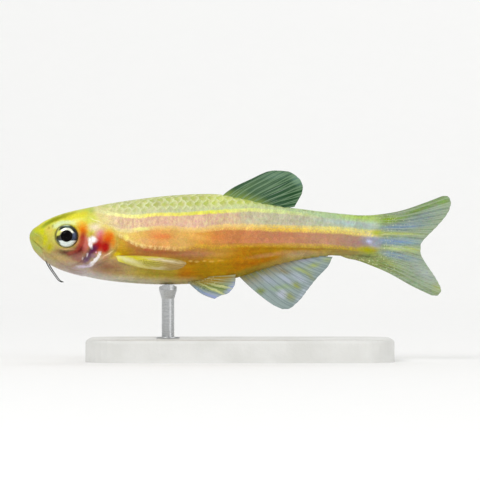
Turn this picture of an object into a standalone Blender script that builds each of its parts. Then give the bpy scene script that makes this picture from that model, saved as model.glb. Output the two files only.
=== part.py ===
"""A zebra danio of the golden form: a still, life-size display model on a plain stand.

World frame: +Z up, head towards -X, left side towards -Y, origin under the middle of the stand.
Sizes are in millimetres and become metres where a mesh is made. The fish has a frame of its own:
x runs from the tip of the snout to the tail, z up from the body's long axis.
"""

import math

import bmesh
import bpy
from mathutils import Matrix, Vector

MM = 0.001
LEFT = Vector((0, -1, 0))

# Driving dimensions, in millimetres
TOTAL_LENGTH = 46.8  # snout to the tip of the upper tail lobe
STANDARD_LENGTH = 38.0  # snout to the end of the tail's flesh
AXIS_HEIGHT = 13.5  # the body's long axis above the table
GAP = 0.3  # between pieces that touch
HEAD_END = 7.4  # behind the skull, under the gill covers
TRUNK_END = 22.8  # at the vent
SNOUT_RADIUS = 0.55  # the blunt tip of the snout

# Along the body, from the snout: distance, height of the back, height of the belly,
# half the width, height of the widest level, and how fast the width falls towards the back
BODY = (
    (0.0, 0.95, -0.55, 0.80, 0.30, 0.80),
    (0.6, 1.28, -1.36, 1.10, 0.15, 0.75),
    (1.8, 2.08, -2.52, 1.58, 0.00, 0.70),
    (3.8, 2.87, -3.52, 2.08, -0.10, 0.70),
    (6.5, 3.50, -4.22, 2.48, -0.10, 0.80),
    (10.5, 4.22, -4.79, 2.74, 0.00, 1.00),
    (15.8, 4.86, -5.02, 2.70, 0.05, 1.10),
    (20.6, 5.02, -4.68, 2.30, 0.15, 1.15),
    (23.2, 4.62, -4.24, 1.98, 0.25, 1.15),
    (26.6, 3.88, -3.16, 1.50, 0.40, 1.10),
    (30.0, 3.40, -2.32, 1.12, 0.52, 1.00),
    (34.2, 2.88, -1.84, 0.76, 0.52, 1.00),
    (38.0, 2.52, -2.04, 0.42, 0.30, 1.00),
)
BACK, BELLY, HALF_WIDTH, WIDEST, FULLNESS = range(1, 6)
SNOUT_RINGS = (0.03, 0.12, 0.28)  # the rings that round the snout's tip
HEAD_RING_STEP = 0.5
BODY_RING_STEP = 1.0
BODY_SIDES = 32
BEYOND_SIDE, BEYOND_BACK = 6.0, 8.0  # cutting planes reach this far out of the body

# Head
EYE_AT = (4.15, 0.26)
EYE_RADIUS = 1.33
EYE_DEPTH = 0.85  # half the eyeball's depth, from side to side
EYE_SINK = 0.52  # the eyeball's centre below the skin
EYE_FACETS = (24, 12)  # round the eyeball, and from its front to its rear
LENS_RADIUS = 0.72
LENS_DEPTH = 0.30  # half its thickness
LENS_STANDS_OUT = 0.30
LENS_FACETS = (20, 8)
ORBIT_RIM = 0.13
BEAD_SIDES = 8
MOUTH_FRONT = 0.30  # height of the cleft at the tip of the snout
MOUTH_CORNER = (1.55, -1.15)
MOUTH_CLEFT = 0.14
CLEFT_AHEAD = 1.0  # how far the cleft is cut beyond the snout
CLEFT_WIDTH = 5.0
LIP_RADIUS = 0.22
LIP_NARROWING = 0.55  # how much thinner the lips are at the corners
LIP_POINTS = 9
LIP_TUCK = 0.14  # how far behind the tip of the snout the lips' middle lies
NOSTRIL_AT = (2.45, 1.35)
NOSTRIL_RADIUS = 0.17
NOSTRIL_SPACING = 0.42
NOSTRIL_DEPTH = 0.35
NOSTRIL_RIM = 0.09
NOSTRIL_RIM_HEIGHT = 0.8  # as a share of the rim's radius
NOSTRIL_FACETS = (12, 8)

# Gill covers: plates over the rear of the head, bulging a little out of the skin
GILL_OUTLINE = (
    (8.0, 1.85),
    (9.1, 1.40),
    (9.8, 0.25),
    (9.8, -0.85),
    (9.2, -1.85),
    (8.2, -2.60),
    (7.1, -3.25),
    (6.1, -3.60),
    (5.7, -3.15),
    (6.25, -1.80),
    (6.6, -0.10),
    (7.1, 1.45),
)
GILL_MIDDLE = (7.8, -0.8)
GILL_BULGE = 0.14
GILL_THICKNESS = 0.55
GILL_PLATE_MIDDLE = 2.6  # from the fish's middle plane to the middle of the plate's block
GILL_PLATE_DEPTH = 4.0

# Barbels: where the root meets the skin, as (x, z), and the path from there, as (x, y, z)
BARBEL_ROOT_RADIUS = 0.25
BARBEL_TIP_RADIUS = 0.08
BARBEL_JOINTS = 12
MAXILLARY_ROOT = (1.52, -1.55)
MAXILLARY_PATH = (
    (1.75, 1.90, -2.30),
    (2.12, 1.95, -3.10),
    (2.72, 1.84, -4.02),
    (3.22, 1.68, -4.66),
    (3.68, 1.50, -4.86),
)
ROSTRAL_ROOT = (0.80, 0.62)
ROSTRAL_PATH = ((1.10, 1.98, 0.38), (1.60, 2.22, -0.02), (2.20, 2.38, -0.52))

# Fins
MEMBRANE = 0.5
ROOT_SWELL = 0.12  # how much thicker the fin's fleshy root is
RAY_RELIEF = 0.22  # how much thicker it is at a ray
EDGE_THICKNESS = 0.32
TAPER_FROM = 0.86  # the share of the way out where the membrane thins to its edge
ROOT_HALF = (MEMBRANE + ROOT_SWELL + RAY_RELIEF) / 2
PELVIC_ROOT = (17.5, 18.6)
PELVIC_ROOT_Y = 0.8
PELVIC_SLANT = 0.62

# Stand
BASE_SIZE = (34.0, 17.0, 2.5)
BASE_CORNER = 4.0
BASE_CHAMFER = 0.35
ROD_AT = 15.4  # along the body, under its middle of mass
ROD_RADIUS = 0.7
ROD_HEAD_RADIUS = 1.0
ROD_HEAD_LENGTH = 1.6
ROD_FLARE = 1.0
SOCKET_DEPTH = 1.3
TURNED_FACETS = 24

MATERIALS = {
    "head_skin": ((0.80, 0.76, 0.30), 0.35, 0.0),
    "trunk_skin": ((0.86, 0.60, 0.30), 0.35, 0.0),
    "tail_skin": ((0.80, 0.52, 0.28), 0.35, 0.0),
    "gill_cover_skin": ((0.80, 0.42, 0.38), 0.25, 0.1),
    "eye": ((0.05, 0.05, 0.06), 0.08, 0.0),
    "barbel": ((0.30, 0.31, 0.27), 0.40, 0.0),
    "dorsal_fin": ((0.24, 0.40, 0.26), 0.40, 0.0),
    "anal_fin": ((0.62, 0.68, 0.60), 0.40, 0.0),
    "caudal_fin": ((0.60, 0.68, 0.55), 0.40, 0.0),
    "pelvic_fin": ((0.66, 0.70, 0.48), 0.40, 0.0),
    "pectoral_fin": ((0.86, 0.82, 0.42), 0.40, 0.0),
    "stand_paint": ((0.83, 0.83, 0.81), 0.50, 0.0),
    "stand_steel": ((0.62, 0.62, 0.62), 0.30, 1.0),
}


# Curves and the body's form


def slope(knots, values, k):
    before, after = max(k - 1, 0), min(k + 1, len(knots) - 1)
    return (values[after] - values[before]) / (knots[after] - knots[before])


def hermite(knots, values, at):
    """The value at `at` on a smooth curve that has these values at these knots."""
    last = len(knots) - 2
    i = next((k for k in range(last) if at < knots[k + 1]), last)
    step = knots[i + 1] - knots[i]
    t = (at - knots[i]) / step
    leave, arrive = slope(knots, values, i) * step, slope(knots, values, i + 1) * step
    return (
        values[i] * ((1 + 2 * t) * (1 - t) ** 2)
        + leave * (t * (1 - t) ** 2)
        + values[i + 1] * (t * t * (3 - 2 * t))
        - arrive * (t * t * (1 - t))
    )


def along_curve(points, share):
    """The point a share of the way along a smooth curve through the points."""
    knots = [0.0]
    for a, b in zip(points, points[1:]):
        knots.append(knots[-1] + (b - a).length)
    return hermite(knots, points, share * knots[-1])


def body(column, x):
    """One column of BODY at a distance x from the snout."""
    return hermite([row[0] for row in BODY], [row[column] for row in BODY], x)


def rounding(x):
    """How much of the section is left at x, where the snout rounds off."""
    return math.sqrt(1 - (1 - min(x / SNOUT_RADIUS, 1.0)) ** 2)


def section_point(x, angle, inset=0.0):
    """A point of the skin, or inset from it, at an angle from the right side towards the back."""
    level, share = body(WIDEST, x), rounding(x)
    side, rise = math.cos(angle), math.sin(angle)
    reach = (body(BACK, x) if rise > 0 else 2 * level - body(BELLY, x)) - level
    fullness = body(FULLNESS, x) if rise > 0 else 1.0
    width = max(body(HALF_WIDTH, x) * share - inset, 0.02)
    height = max(reach * share - inset, 0.02)
    return Vector((x, math.copysign(abs(side) ** fullness, side) * width, level + rise * height))


def skin_y(x, z):
    """Half the body's width at x and at the height z."""
    level, share = body(WIDEST, x), rounding(x)
    above = z > level
    reach = (body(BACK, x) - level if above else level - body(BELLY, x)) * share
    rise = min(abs(z - level) / reach, 1.0)
    fullness = body(FULLNESS, x) if above else 1.0
    return body(HALF_WIDTH, x) * share * math.sqrt(1 - rise * rise) ** fullness


def below_skin(x, y):
    """The height of the body's lower side at x and at a distance y from the middle."""
    level = body(WIDEST, x)
    return level - (level - body(BELLY, x)) * math.sqrt(1 - (y / body(HALF_WIDTH, x)) ** 2)


def beneath(x, y):
    """A point under the left half of the body, with room for the thickness of a fin beside the skin."""
    return (x, -y, below_skin(x, y) - GAP - ROOT_HALF)


def on_skin(x, z, outside=0.0, side=-1):
    """A point beside the body at x and z, a distance outside its skin to the side."""
    return Vector((x, side * (skin_y(x, z) + outside), z))


# Objects


def clear_scene():
    for thing in list(bpy.data.objects):
        bpy.data.objects.remove(thing)


def paint(name):
    colour, roughness, metallic = MATERIALS[name]
    material = bpy.data.materials.get(name) or bpy.data.materials.new(name)
    material.use_nodes = True
    shader = material.node_tree.nodes["Principled BSDF"]
    shader.inputs["Base Color"].default_value = (*colour, 1.0)
    shader.inputs["Roughness"].default_value = roughness
    shader.inputs["Metallic"].default_value = metallic
    return material


def new_object(name, data):
    thing = bpy.data.objects.new(name, data)
    bpy.context.scene.collection.objects.link(thing)
    return thing


def object_from(shape, name, at=Vector()):
    """An object in metres from a bmesh in millimetres, with its origin at a point of the fish's frame."""
    bmesh.ops.recalc_face_normals(shape, faces=shape.faces)
    bmesh.ops.translate(shape, verts=shape.verts, vec=-at)
    bmesh.ops.scale(shape, verts=shape.verts, vec=(MM, MM, MM))
    mesh = bpy.data.meshes.new(name)
    shape.to_mesh(mesh)
    shape.free()
    thing = new_object(name, mesh)
    thing.location = at * MM
    return thing


def final_mesh(thing):
    """The mesh that the object's modifiers or bevel make."""
    bpy.context.view_layer.update()
    graph = bpy.context.evaluated_depsgraph_get()
    return bpy.data.meshes.new_from_object(thing.evaluated_get(graph))


def combine(thing, others, operation):
    """Joins the object with the others, or cuts it by them, in one Boolean, and removes the others."""
    tools = bpy.data.collections.new("tools")
    bpy.context.scene.collection.children.link(tools)
    for other in others:
        tools.objects.link(other)
    boolean = thing.modifiers.new("combine", "BOOLEAN")
    boolean.operation = operation
    boolean.operand_type = "COLLECTION"
    boolean.collection = tools
    boolean.solver = "EXACT"
    mesh = final_mesh(thing)
    thing.modifiers.clear()
    thing.data = mesh
    for other in others:
        bpy.data.objects.remove(other)
    bpy.data.collections.remove(tools)
    return thing


def keep_largest(thing):
    """Leaves only the object's largest closed surface."""
    shape = bmesh.new()
    shape.from_mesh(thing.data)
    left, bodies = set(shape.verts), []
    while left:
        found, edge = set(), {left.pop()}
        while edge:
            found |= edge
            edge = {e.other_vert(v) for v in edge for e in v.link_edges} - found
        left -= found
        bodies.append(found)
    for scrap in sorted(bodies, key=len)[:-1]:
        bmesh.ops.delete(shape, geom=list(scrap), context="VERTS")
    shape.to_mesh(thing.data)
    shape.free()
    return thing


def mirrored(thing, name):
    """A copy of a piece of the left side, turned into the right side's."""
    mesh = final_mesh(thing)
    shape = bmesh.new()
    shape.from_mesh(mesh)
    bmesh.ops.scale(shape, verts=shape.verts, vec=(1, -1, 1))
    bmesh.ops.reverse_faces(shape, faces=shape.faces)
    shape.to_mesh(mesh)
    shape.free()
    other = new_object(name, mesh)
    other.location = thing.location * Vector((1, -1, 1))
    return other


# Shapes


def body_form(name, inset=0.0):
    """The whole body, from the snout to the end of the tail's flesh, as one closed loft."""
    stations = [*SNOUT_RINGS]
    while stations[-1] < STANDARD_LENGTH - BODY_RING_STEP:
        step = HEAD_RING_STEP if stations[-1] < GILL_MIDDLE[0] + 2 else BODY_RING_STEP
        stations.append(round((stations[-1] + step) / step) * step)
    stations.append(STANDARD_LENGTH)
    shape = bmesh.new()
    rings = []
    for x in stations:
        turns = [math.tau * k / BODY_SIDES for k in range(BODY_SIDES)]
        rings.append([shape.verts.new(section_point(x, turn, inset)) for turn in turns])
    for ring, following in zip(rings, rings[1:]):
        for k in range(BODY_SIDES):
            after = (k + 1) % BODY_SIDES
            shape.faces.new((ring[k], following[k], following[after], ring[after]))
    shape.faces.new(reversed(rings[-1]))
    tip = shape.verts.new((inset, 0, body(WIDEST, 0)))
    for k in range(BODY_SIDES):
        shape.faces.new((rings[0][k], rings[0][(k + 1) % BODY_SIDES], tip))
    return object_from(shape, name)


def length_of_body(name, start, end):
    """A block round the whole body from one distance from the snout to another."""
    shape = bmesh.new()
    bmesh.ops.create_cube(shape, size=1.0)
    size = (end - start, 2 * BEYOND_SIDE, 2 * BEYOND_BACK)
    bmesh.ops.scale(shape, verts=shape.verts, vec=size)
    bmesh.ops.translate(shape, verts=shape.verts, vec=((start + end) / 2, 0, 0))
    return object_from(shape, name)


def ball(name, centre, radii, facets=(24, 16)):
    """An ellipsoid with its poles to the sides."""
    segments, rings = facets
    shape = bmesh.new()
    bmesh.ops.create_uvsphere(shape, u_segments=segments, v_segments=rings, radius=1.0)
    bmesh.ops.rotate(shape, verts=shape.verts, matrix=Matrix.Rotation(math.pi / 2, 3, "X"))
    bmesh.ops.scale(shape, verts=shape.verts, vec=radii)
    bmesh.ops.translate(shape, verts=shape.verts, vec=centre)
    return object_from(shape, name)


def meshed(guide):
    """Makes a curve object a closed mesh object, with its caps joined to its sides."""
    mesh = final_mesh(guide)
    name = guide.name
    bpy.data.objects.remove(guide)
    shape = bmesh.new()
    shape.from_mesh(mesh)
    bmesh.ops.remove_doubles(shape, verts=shape.verts, dist=1e-7)
    bmesh.ops.recalc_face_normals(shape, faces=shape.faces)
    shape.to_mesh(mesh)
    shape.free()
    return new_object(name, mesh)


def tube(name, points, radii, resolution=2):
    """A closed tube through the points, in millimetres, with a radius at each."""
    curve = bpy.data.curves.new(name, "CURVE")
    curve.dimensions = "3D"
    curve.bevel_depth = MM
    curve.bevel_resolution = resolution
    curve.use_fill_caps = True
    spline = curve.splines.new("POLY")
    spline.points.add(len(points) - 1)
    for place, point, radius in zip(spline.points, points, radii):
        place.co = (*(point * MM), 1.0)
        place.radius = radius
    return meshed(new_object(name, curve))


def ring_on_skin(name, at, radius, thickness, points=28):
    """A closed bead that lies on the left side of the head, round a point."""
    shape = bmesh.new()
    loops = []
    for k in range(points):
        turn = math.tau * k / points
        out = Vector((math.cos(turn), 0, math.sin(turn)))
        centre = on_skin(at[0] + out.x * radius, at[1] + out.z * radius, -thickness / 3)
        loop = []
        for j in range(BEAD_SIDES):
            angle = math.tau * j / BEAD_SIDES
            rim = out * math.cos(angle) + LEFT * math.sin(angle)
            loop.append(shape.verts.new(centre + rim * thickness))
        loops.append(loop)
    for k, loop in enumerate(loops):
        following = loops[(k + 1) % points]
        for j in range(BEAD_SIDES):
            after = (j + 1) % BEAD_SIDES
            shape.faces.new((loop[j], loop[after], following[after], following[j]))
    return object_from(shape, name)


# Head, gill covers and eyes


def gill_prism(name, grow, side=-1):
    """A prism from inside one half of the body outwards, with the gill cover's outline, grown all round."""
    curve = bpy.data.curves.new(name, "CURVE")
    curve.dimensions = "2D"
    curve.fill_mode = "BOTH"
    curve.extrude = GILL_PLATE_DEPTH / 2 * MM
    curve.resolution_u = 4
    spline = curve.splines.new("BEZIER")
    spline.use_cyclic_u = True
    spline.bezier_points.add(len(GILL_OUTLINE) - 1)
    middle = Vector(GILL_MIDDLE)
    for place, corner in zip(spline.bezier_points, GILL_OUTLINE):
        reach = Vector(corner) - middle
        at = middle + reach * (1 + grow / reach.length)
        place.co = (at.x * MM, at.y * MM, 0)
        place.handle_left_type = place.handle_right_type = "AUTO"
    prism = meshed(new_object(name, curve))
    stand_up = Matrix.Rotation(math.pi / 2, 4, "X")
    prism.data.transform(Matrix.Translation((0, side * GILL_PLATE_MIDDLE * MM, 0)) @ stand_up)
    return prism


def gill_cover():
    """The left gill cover: the skin's own curve, swollen a little, inside the oval outline."""
    cover = gill_prism("gill_cover_left", 0.0)
    combine(cover, [body_form("swollen", -GILL_BULGE)], "INTERSECT")
    combine(cover, [body_form("inner", GILL_THICKNESS)], "DIFFERENCE")
    return keep_largest(cover)


def gill_pockets():
    """Cutters that leave the room in which the gill covers lie."""
    pockets = []
    for side in (-1, 1):
        pocket = gill_prism("pocket", GAP, side)
        combine(pocket, [body_form("core", GILL_THICKNESS + GAP)], "DIFFERENCE")
        pockets.append(pocket)
    return pockets


def mouth_line(count, outside=0.0):
    """Points along the mouth's cleft, from the left corner round the snout to the right one."""
    corner_x, corner_z = MOUTH_CORNER
    points = []
    for k in range(-count, count + 1):
        share = (k / count) ** 2
        x = max(corner_x * share, LIP_TUCK)
        z = MOUTH_FRONT + (corner_z - MOUTH_FRONT) * share
        points.append(on_skin(x, z, outside, -1 if k < 0 else 1))
    return points


def lips():
    """One roll round the snout, which the cleft parts into two lips."""
    points = mouth_line(LIP_POINTS)
    shares = [abs(k) / LIP_POINTS for k in range(-LIP_POINTS, LIP_POINTS + 1)]
    radii = [LIP_RADIUS * (1 - LIP_NARROWING * share ** 3) for share in shares]
    return tube("lips", points, radii)


def mouth_cleft():
    """The thin slot between the lips, from the snout's tip back to the corners."""
    corner_x, corner_z = MOUTH_CORNER
    run, drop = corner_x, MOUTH_FRONT - corner_z
    shape = bmesh.new()
    bmesh.ops.create_cube(shape, size=1.0)
    length = math.hypot(run, drop) + CLEFT_AHEAD
    bmesh.ops.scale(shape, verts=shape.verts, vec=(length, CLEFT_WIDTH, MOUTH_CLEFT))
    bmesh.ops.translate(shape, verts=shape.verts, vec=(-length / 2, 0, 0))
    bmesh.ops.rotate(shape, verts=shape.verts, matrix=Matrix.Rotation(math.atan2(drop, run), 3, "Y"))
    bmesh.ops.translate(shape, verts=shape.verts, vec=(corner_x, 0, corner_z))
    return object_from(shape, "cleft")


def nostrils():
    """Beads round the nostrils, and the pits inside them, on both sides."""
    beads, pits = [], []
    bead = NOSTRIL_RADIUS + NOSTRIL_RIM
    height = NOSTRIL_RIM_HEIGHT * bead
    for side in (-1, 1):
        for k in (-0.5, 0.5):
            x = NOSTRIL_AT[0] + k * NOSTRIL_SPACING
            z = NOSTRIL_AT[1] + k * NOSTRIL_SPACING * 0.5
            at = on_skin(x, z, 0.0, side)
            beads.append(ball("bead", at, (bead, height, bead), NOSTRIL_FACETS))
            outside = at + Vector((0, side * height, 0))
            pit = (NOSTRIL_RADIUS, NOSTRIL_DEPTH, NOSTRIL_RADIUS)
            pits.append(ball("pit", outside, pit, NOSTRIL_FACETS))
    return beads, pits


def orbit_rims():
    """Low rims of skin round both eyes."""
    rim = ring_on_skin("rim", EYE_AT, EYE_RADIUS + GAP + ORBIT_RIM * 0.6, ORBIT_RIM)
    return [rim, mirrored(rim, "rim_right")]


def eye_centre(side):
    return on_skin(*EYE_AT, -EYE_SINK, side)


def sockets():
    radii = (EYE_RADIUS + GAP, EYE_DEPTH + GAP, EYE_RADIUS + GAP)
    return [ball("socket", eye_centre(side), radii) for side in (-1, 1)]


def head(pockets):
    """The head: skull, cheeks and jaws, with lips, nostrils, orbits and the gill covers' room."""
    skull = body_form("head")
    combine(skull, [length_of_body("behind", HEAD_END - GAP / 2, STANDARD_LENGTH + 1)], "DIFFERENCE")
    beads, pits = nostrils()
    combine(skull, [lips(), *beads, *orbit_rims()], "UNION")
    combine(skull, [*sockets(), *pits, mouth_cleft(), *pockets], "DIFFERENCE")
    return keep_largest(skull)


def eye():
    """The left eyeball, with the lens that stands out of its pupil."""
    centre = eye_centre(-1)
    ball_radii = (EYE_RADIUS, EYE_DEPTH, EYE_RADIUS)
    eyeball = ball("eye_left", Vector(), ball_radii, EYE_FACETS)
    lens_at = Vector((0, -(EYE_DEPTH + LENS_STANDS_OUT / 2 - LENS_DEPTH), 0))
    lens_radii = (LENS_RADIUS, LENS_DEPTH, LENS_RADIUS)
    combine(eyeball, [ball("lens", lens_at, lens_radii, LENS_FACETS)], "UNION")
    eyeball.location = centre * MM
    return keep_largest(eyeball)


# Trunk and tail


def trunk(pockets):
    """The trunk, from the shoulder to the vent."""
    flesh = body_form("trunk")
    front = length_of_body("front", -1, HEAD_END + GAP / 2)
    rear = length_of_body("rear", TRUNK_END - GAP / 2, STANDARD_LENGTH + 1)
    combine(flesh, [front, rear, *pockets], "DIFFERENCE")
    return keep_largest(flesh)


def tail():
    """The tail's flesh, from the vent to the root of the tail fin."""
    flesh = body_form("tail")
    combine(flesh, [length_of_body("front", -1, TRUNK_END + GAP / 2)], "DIFFERENCE")
    return flesh


# Barbels


def barbel(name, root, path):
    """A feeler of the left side, tapering from its root, which meets the skin end on."""
    points = [on_skin(*root, GAP), *(Vector((x, -y, z)) for x, y, z in path)]
    shares = [k / BARBEL_JOINTS for k in range(BARBEL_JOINTS + 1)]
    line = [along_curve(points, share) for share in shares]
    narrowing = BARBEL_ROOT_RADIUS - BARBEL_TIP_RADIUS
    radii = [BARBEL_ROOT_RADIUS - narrowing * share for share in shares]
    return tube(name, line, radii)


# Fins


def edge(*points):
    """Corner points of a fin's edge, as (x, z) in the middle plane or as (x, y, z)."""
    return [Vector((p[0], 0.0, p[1])) if len(p) == 2 else Vector(p) for p in points]


def fin_thickness(out, on_ray):
    """A fin's thickness a share of the way out from its root, on a ray or between two."""
    full = MEMBRANE + ROOT_SWELL * (1 - out) ** 2 + (RAY_RELIEF * (1 - out / 2) if on_ray else 0.0)
    taper = max(out - TAPER_FROM, 0.0) / (1 - TAPER_FROM)
    return full + (EDGE_THICKNESS - full) * taper


def fin(name, root, lead, margin, last, rays, rows):
    """A membrane with its rays as ridges: an open sheet between four edges, made solid.

    root and margin run from the first ray to the last, lead and last from root to margin.
    """
    columns = 2 * rays - 2
    shape = bmesh.new()
    bmesh.ops.create_grid(shape, x_segments=columns, y_segments=rows, size=1.0)
    weights = shape.verts.layers.deform.verify()
    for vert in shape.verts:
        across, out = (vert.co.x + 1) / 2, (vert.co.y + 1) / 2
        corners = (
            (root[0] * (1 - across) + root[-1] * across) * (1 - out)
            + (margin[0] * (1 - across) + margin[-1] * across) * out
        )
        vert.co = (
            along_curve(root, across) * (1 - out)
            + along_curve(margin, across) * out
            + along_curve(lead, out) * (1 - across)
            + along_curve(last, out) * across
            - corners
        )
        on_ray = round(across * columns) % 2 == 0
        vert[weights][0] = fin_thickness(out, on_ray) / (2 * ROOT_HALF)
    bmesh.ops.triangulate(shape, faces=shape.faces)
    thing = object_from(shape, name, root[0].copy())
    thing.vertex_groups.new(name="thickness")
    solid = thing.modifiers.new("thickness", "SOLIDIFY")
    solid.thickness = 2 * ROOT_HALF * MM
    solid.offset = 0.0
    solid.vertex_group = "thickness"
    solid.thickness_vertex_group = 0.0
    return thing


def beside_back(start, end, count=4, lift=GAP):
    """Points just above the back, from start to end along the body."""
    xs = [start + (end - start) * k / (count - 1) for k in range(count)]
    return [(x, body(BACK, x) + lift) for x in xs]


def beside_belly(start, end, count=4, drop=GAP):
    """Points just below the belly, from start to end along the body."""
    xs = [start + (end - start) * k / (count - 1) for k in range(count)]
    return [(x, body(BELLY, x) - drop) for x in xs]


def dorsal_fin():
    root = edge(*beside_back(21.9, 28.8))
    lead = edge(root[0], (24.5, 6.66), (26.5, 7.46))
    upper = edge((26.5, 7.46), (27.5, 7.62), (28.8, 7.52), (29.8, 6.90))
    margin = [*upper, *edge((30.3, 6.10), (30.3, 5.25), (29.8, 4.25))]
    last = [root[-1], margin[-1]]
    return fin("dorsal_fin", root, lead, margin, last, rays=9, rows=10)


def anal_fin():
    root = edge(*beside_belly(23.1, 32.9, 5))
    lead = edge(root[0], (24.4, -5.28), (25.8, -6.46), (27.1, -7.40), (28.2, -7.76))
    margin = edge((28.2, -7.76), (29.05, -7.62), (29.8, -7.00), (31.1, -5.35), (32.55, -3.60), (33.6, -2.35))
    last = [root[-1], margin[-1]]
    return fin("anal_fin", root, lead, margin, last, rays=13, rows=10)


def caudal_upper():
    start = STANDARD_LENGTH + GAP
    root = edge((start, body(BACK, STANDARD_LENGTH)), (start, 1.4), (start, GAP / 2))
    lead = edge((start, body(BACK, STANDARD_LENGTH)), (41.2, 3.10), (43.8, 3.98), (45.9, 4.80))
    tip = edge((45.9, 4.80), (46.5, 4.72), (46.8, 4.15))
    margin = [*tip, *edge((46.35, 2.70), (45.15, 1.20), (44.05, -0.02), (43.5, -0.9))]
    last = edge((start, GAP / 2), (41.0, -0.28), (43.5, -0.9))
    return fin("caudal_fin_upper", root, lead, margin, last, rays=10, rows=13)


def caudal_lower():
    start = STANDARD_LENGTH + GAP
    under = beside_belly(35.1, STANDARD_LENGTH - 0.2, 3)
    root = edge(*under, (start, body(BELLY, STANDARD_LENGTH) + 0.1), (start, -1.0), (start, -GAP / 2))
    lead = edge(under[0], (37.2, -2.82), (39.8, -3.80), (42.5, -5.32), (44.7, -6.32))
    tip = edge((44.7, -6.32), (45.4, -6.28), (45.75, -5.60))
    margin = [*tip, *edge((45.05, -4.15), (44.1, -2.75), (43.5, -1.65), (43.45, -1.2))]
    last = edge((start, -GAP / 2), (41.0, -0.58), (43.45, -1.2))
    return fin("caudal_fin_lower", root, lead, margin, last, rays=11, rows=13)


def pelvic_fin():
    """The left pelvic fin, which slants outwards from beside the middle of the belly."""

    def aslant(x, z):
        return (x, -(PELVIC_ROOT_Y + PELVIC_SLANT * (-4.9 - z)), z)

    height = min(below_skin(x, PELVIC_ROOT_Y) for x in PELVIC_ROOT) - GAP
    front, rear = (aslant(x, height) for x in PELVIC_ROOT)
    root = edge(front, aslant(sum(PELVIC_ROOT) / 2, height), rear)
    lead = edge(front, aslant(18.3, -5.50), aslant(19.3, -6.04), aslant(20.4, -6.56))
    last = edge(rear, aslant(19.9, -5.14), beneath(21.3, 1.0), beneath(22.9, 0.9))
    margin = edge(aslant(20.4, -6.56), aslant(21.3, -6.22), aslant(22.2, -5.82), aslant(22.7, -5.25))
    margin.append(last[-1])
    return fin("pelvic_fin_left", root, lead, margin, last, rays=8, rows=9)


def pectoral_fin():
    """The left pectoral fin, swept back beside the belly with its first ray outermost."""
    off = GAP + ROOT_HALF
    root = edge(on_skin(10.0, -1.90, off), on_skin(10.1, -2.15, off), on_skin(10.2, -2.40, off))
    lead = edge(root[0], (12.2, -3.75, -1.86), (15.0, -4.75, -2.02), (17.2, -5.30, -2.45))
    margin = edge((17.2, -5.30, -2.45), (17.5, -5.30, -2.72), (17.0, -4.90, -3.10), (15.6, -3.95, -3.38))
    last = edge(root[-1], (12.4, -3.35, -3.05), (15.6, -3.95, -3.38))
    return fin("pectoral_fin_left", root, lead, margin, last, rays=10, rows=11)


# Stand


def stand_base():
    """A low block with round corners and a socket for the rod."""
    height = BASE_SIZE[2]
    shape = bmesh.new()
    bmesh.ops.create_cube(shape, size=1.0)
    bmesh.ops.scale(shape, verts=shape.verts, vec=BASE_SIZE)
    bmesh.ops.translate(shape, verts=shape.verts, vec=(0, 0, height / 2))
    upright = [e for e in shape.edges if abs(e.verts[0].co.z - e.verts[1].co.z) > height / 2]
    bmesh.ops.bevel(shape, geom=upright, offset=BASE_CORNER, segments=8, profile=0.5, affect="EDGES")
    rim = [e for e in shape.edges if all(v.co.z > height - 1e-4 for v in e.verts)]
    bmesh.ops.bevel(shape, geom=rim, offset=BASE_CHAMFER, segments=2, profile=0.5, affect="EDGES")
    base = object_from(shape, "stand_base")
    hole = bmesh.new()
    radius = ROD_RADIUS + GAP
    bmesh.ops.create_cone(
        hole, cap_ends=True, segments=TURNED_FACETS, radius1=radius, radius2=radius, depth=2 * SOCKET_DEPTH
    )
    bmesh.ops.translate(hole, verts=hole.verts, vec=(ROD_AT - TOTAL_LENGTH / 2, 0, height))
    return combine(base, [object_from(hole, "hole")], "DIFFERENCE")


def stand_rod():
    """A turned rod, from its socket in the base to the belly, whose curve its head follows."""
    foot = BASE_SIZE[2] - SOCKET_DEPTH + GAP - AXIS_HEIGHT
    top = body(BELLY, ROD_AT) + ROD_HEAD_RADIUS
    neck = body(BELLY, ROD_AT) - ROD_HEAD_LENGTH
    profile = (
        (0.0, top),
        (ROD_HEAD_RADIUS, top),
        (ROD_HEAD_RADIUS, neck + ROD_FLARE),
        (ROD_RADIUS, neck),
        (ROD_RADIUS, foot),
        (0.0, foot),
    )
    shape = bmesh.new()
    points = [shape.verts.new((r, 0, z)) for r, z in profile]
    for a, b in zip(points, points[1:]):
        shape.edges.new((a, b))
    turned = [*shape.verts, *shape.edges]
    axis, middle = (0, 0, 1), (0, 0, 0)
    bmesh.ops.spin(
        shape, geom=turned, axis=axis, cent=middle, steps=TURNED_FACETS, angle=math.tau, use_merge=True
    )
    bmesh.ops.remove_doubles(shape, verts=shape.verts, dist=1e-4)
    bmesh.ops.translate(shape, verts=shape.verts, vec=(ROD_AT, 0, 0))
    rod = object_from(shape, "stand_rod")
    return keep_largest(combine(rod, [body_form("belly", -GAP)], "DIFFERENCE"))


# The whole


def make_left_and_right(left, name):
    left.name = name + "_left"
    return [left, mirrored(left, name + "_right")]


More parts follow.
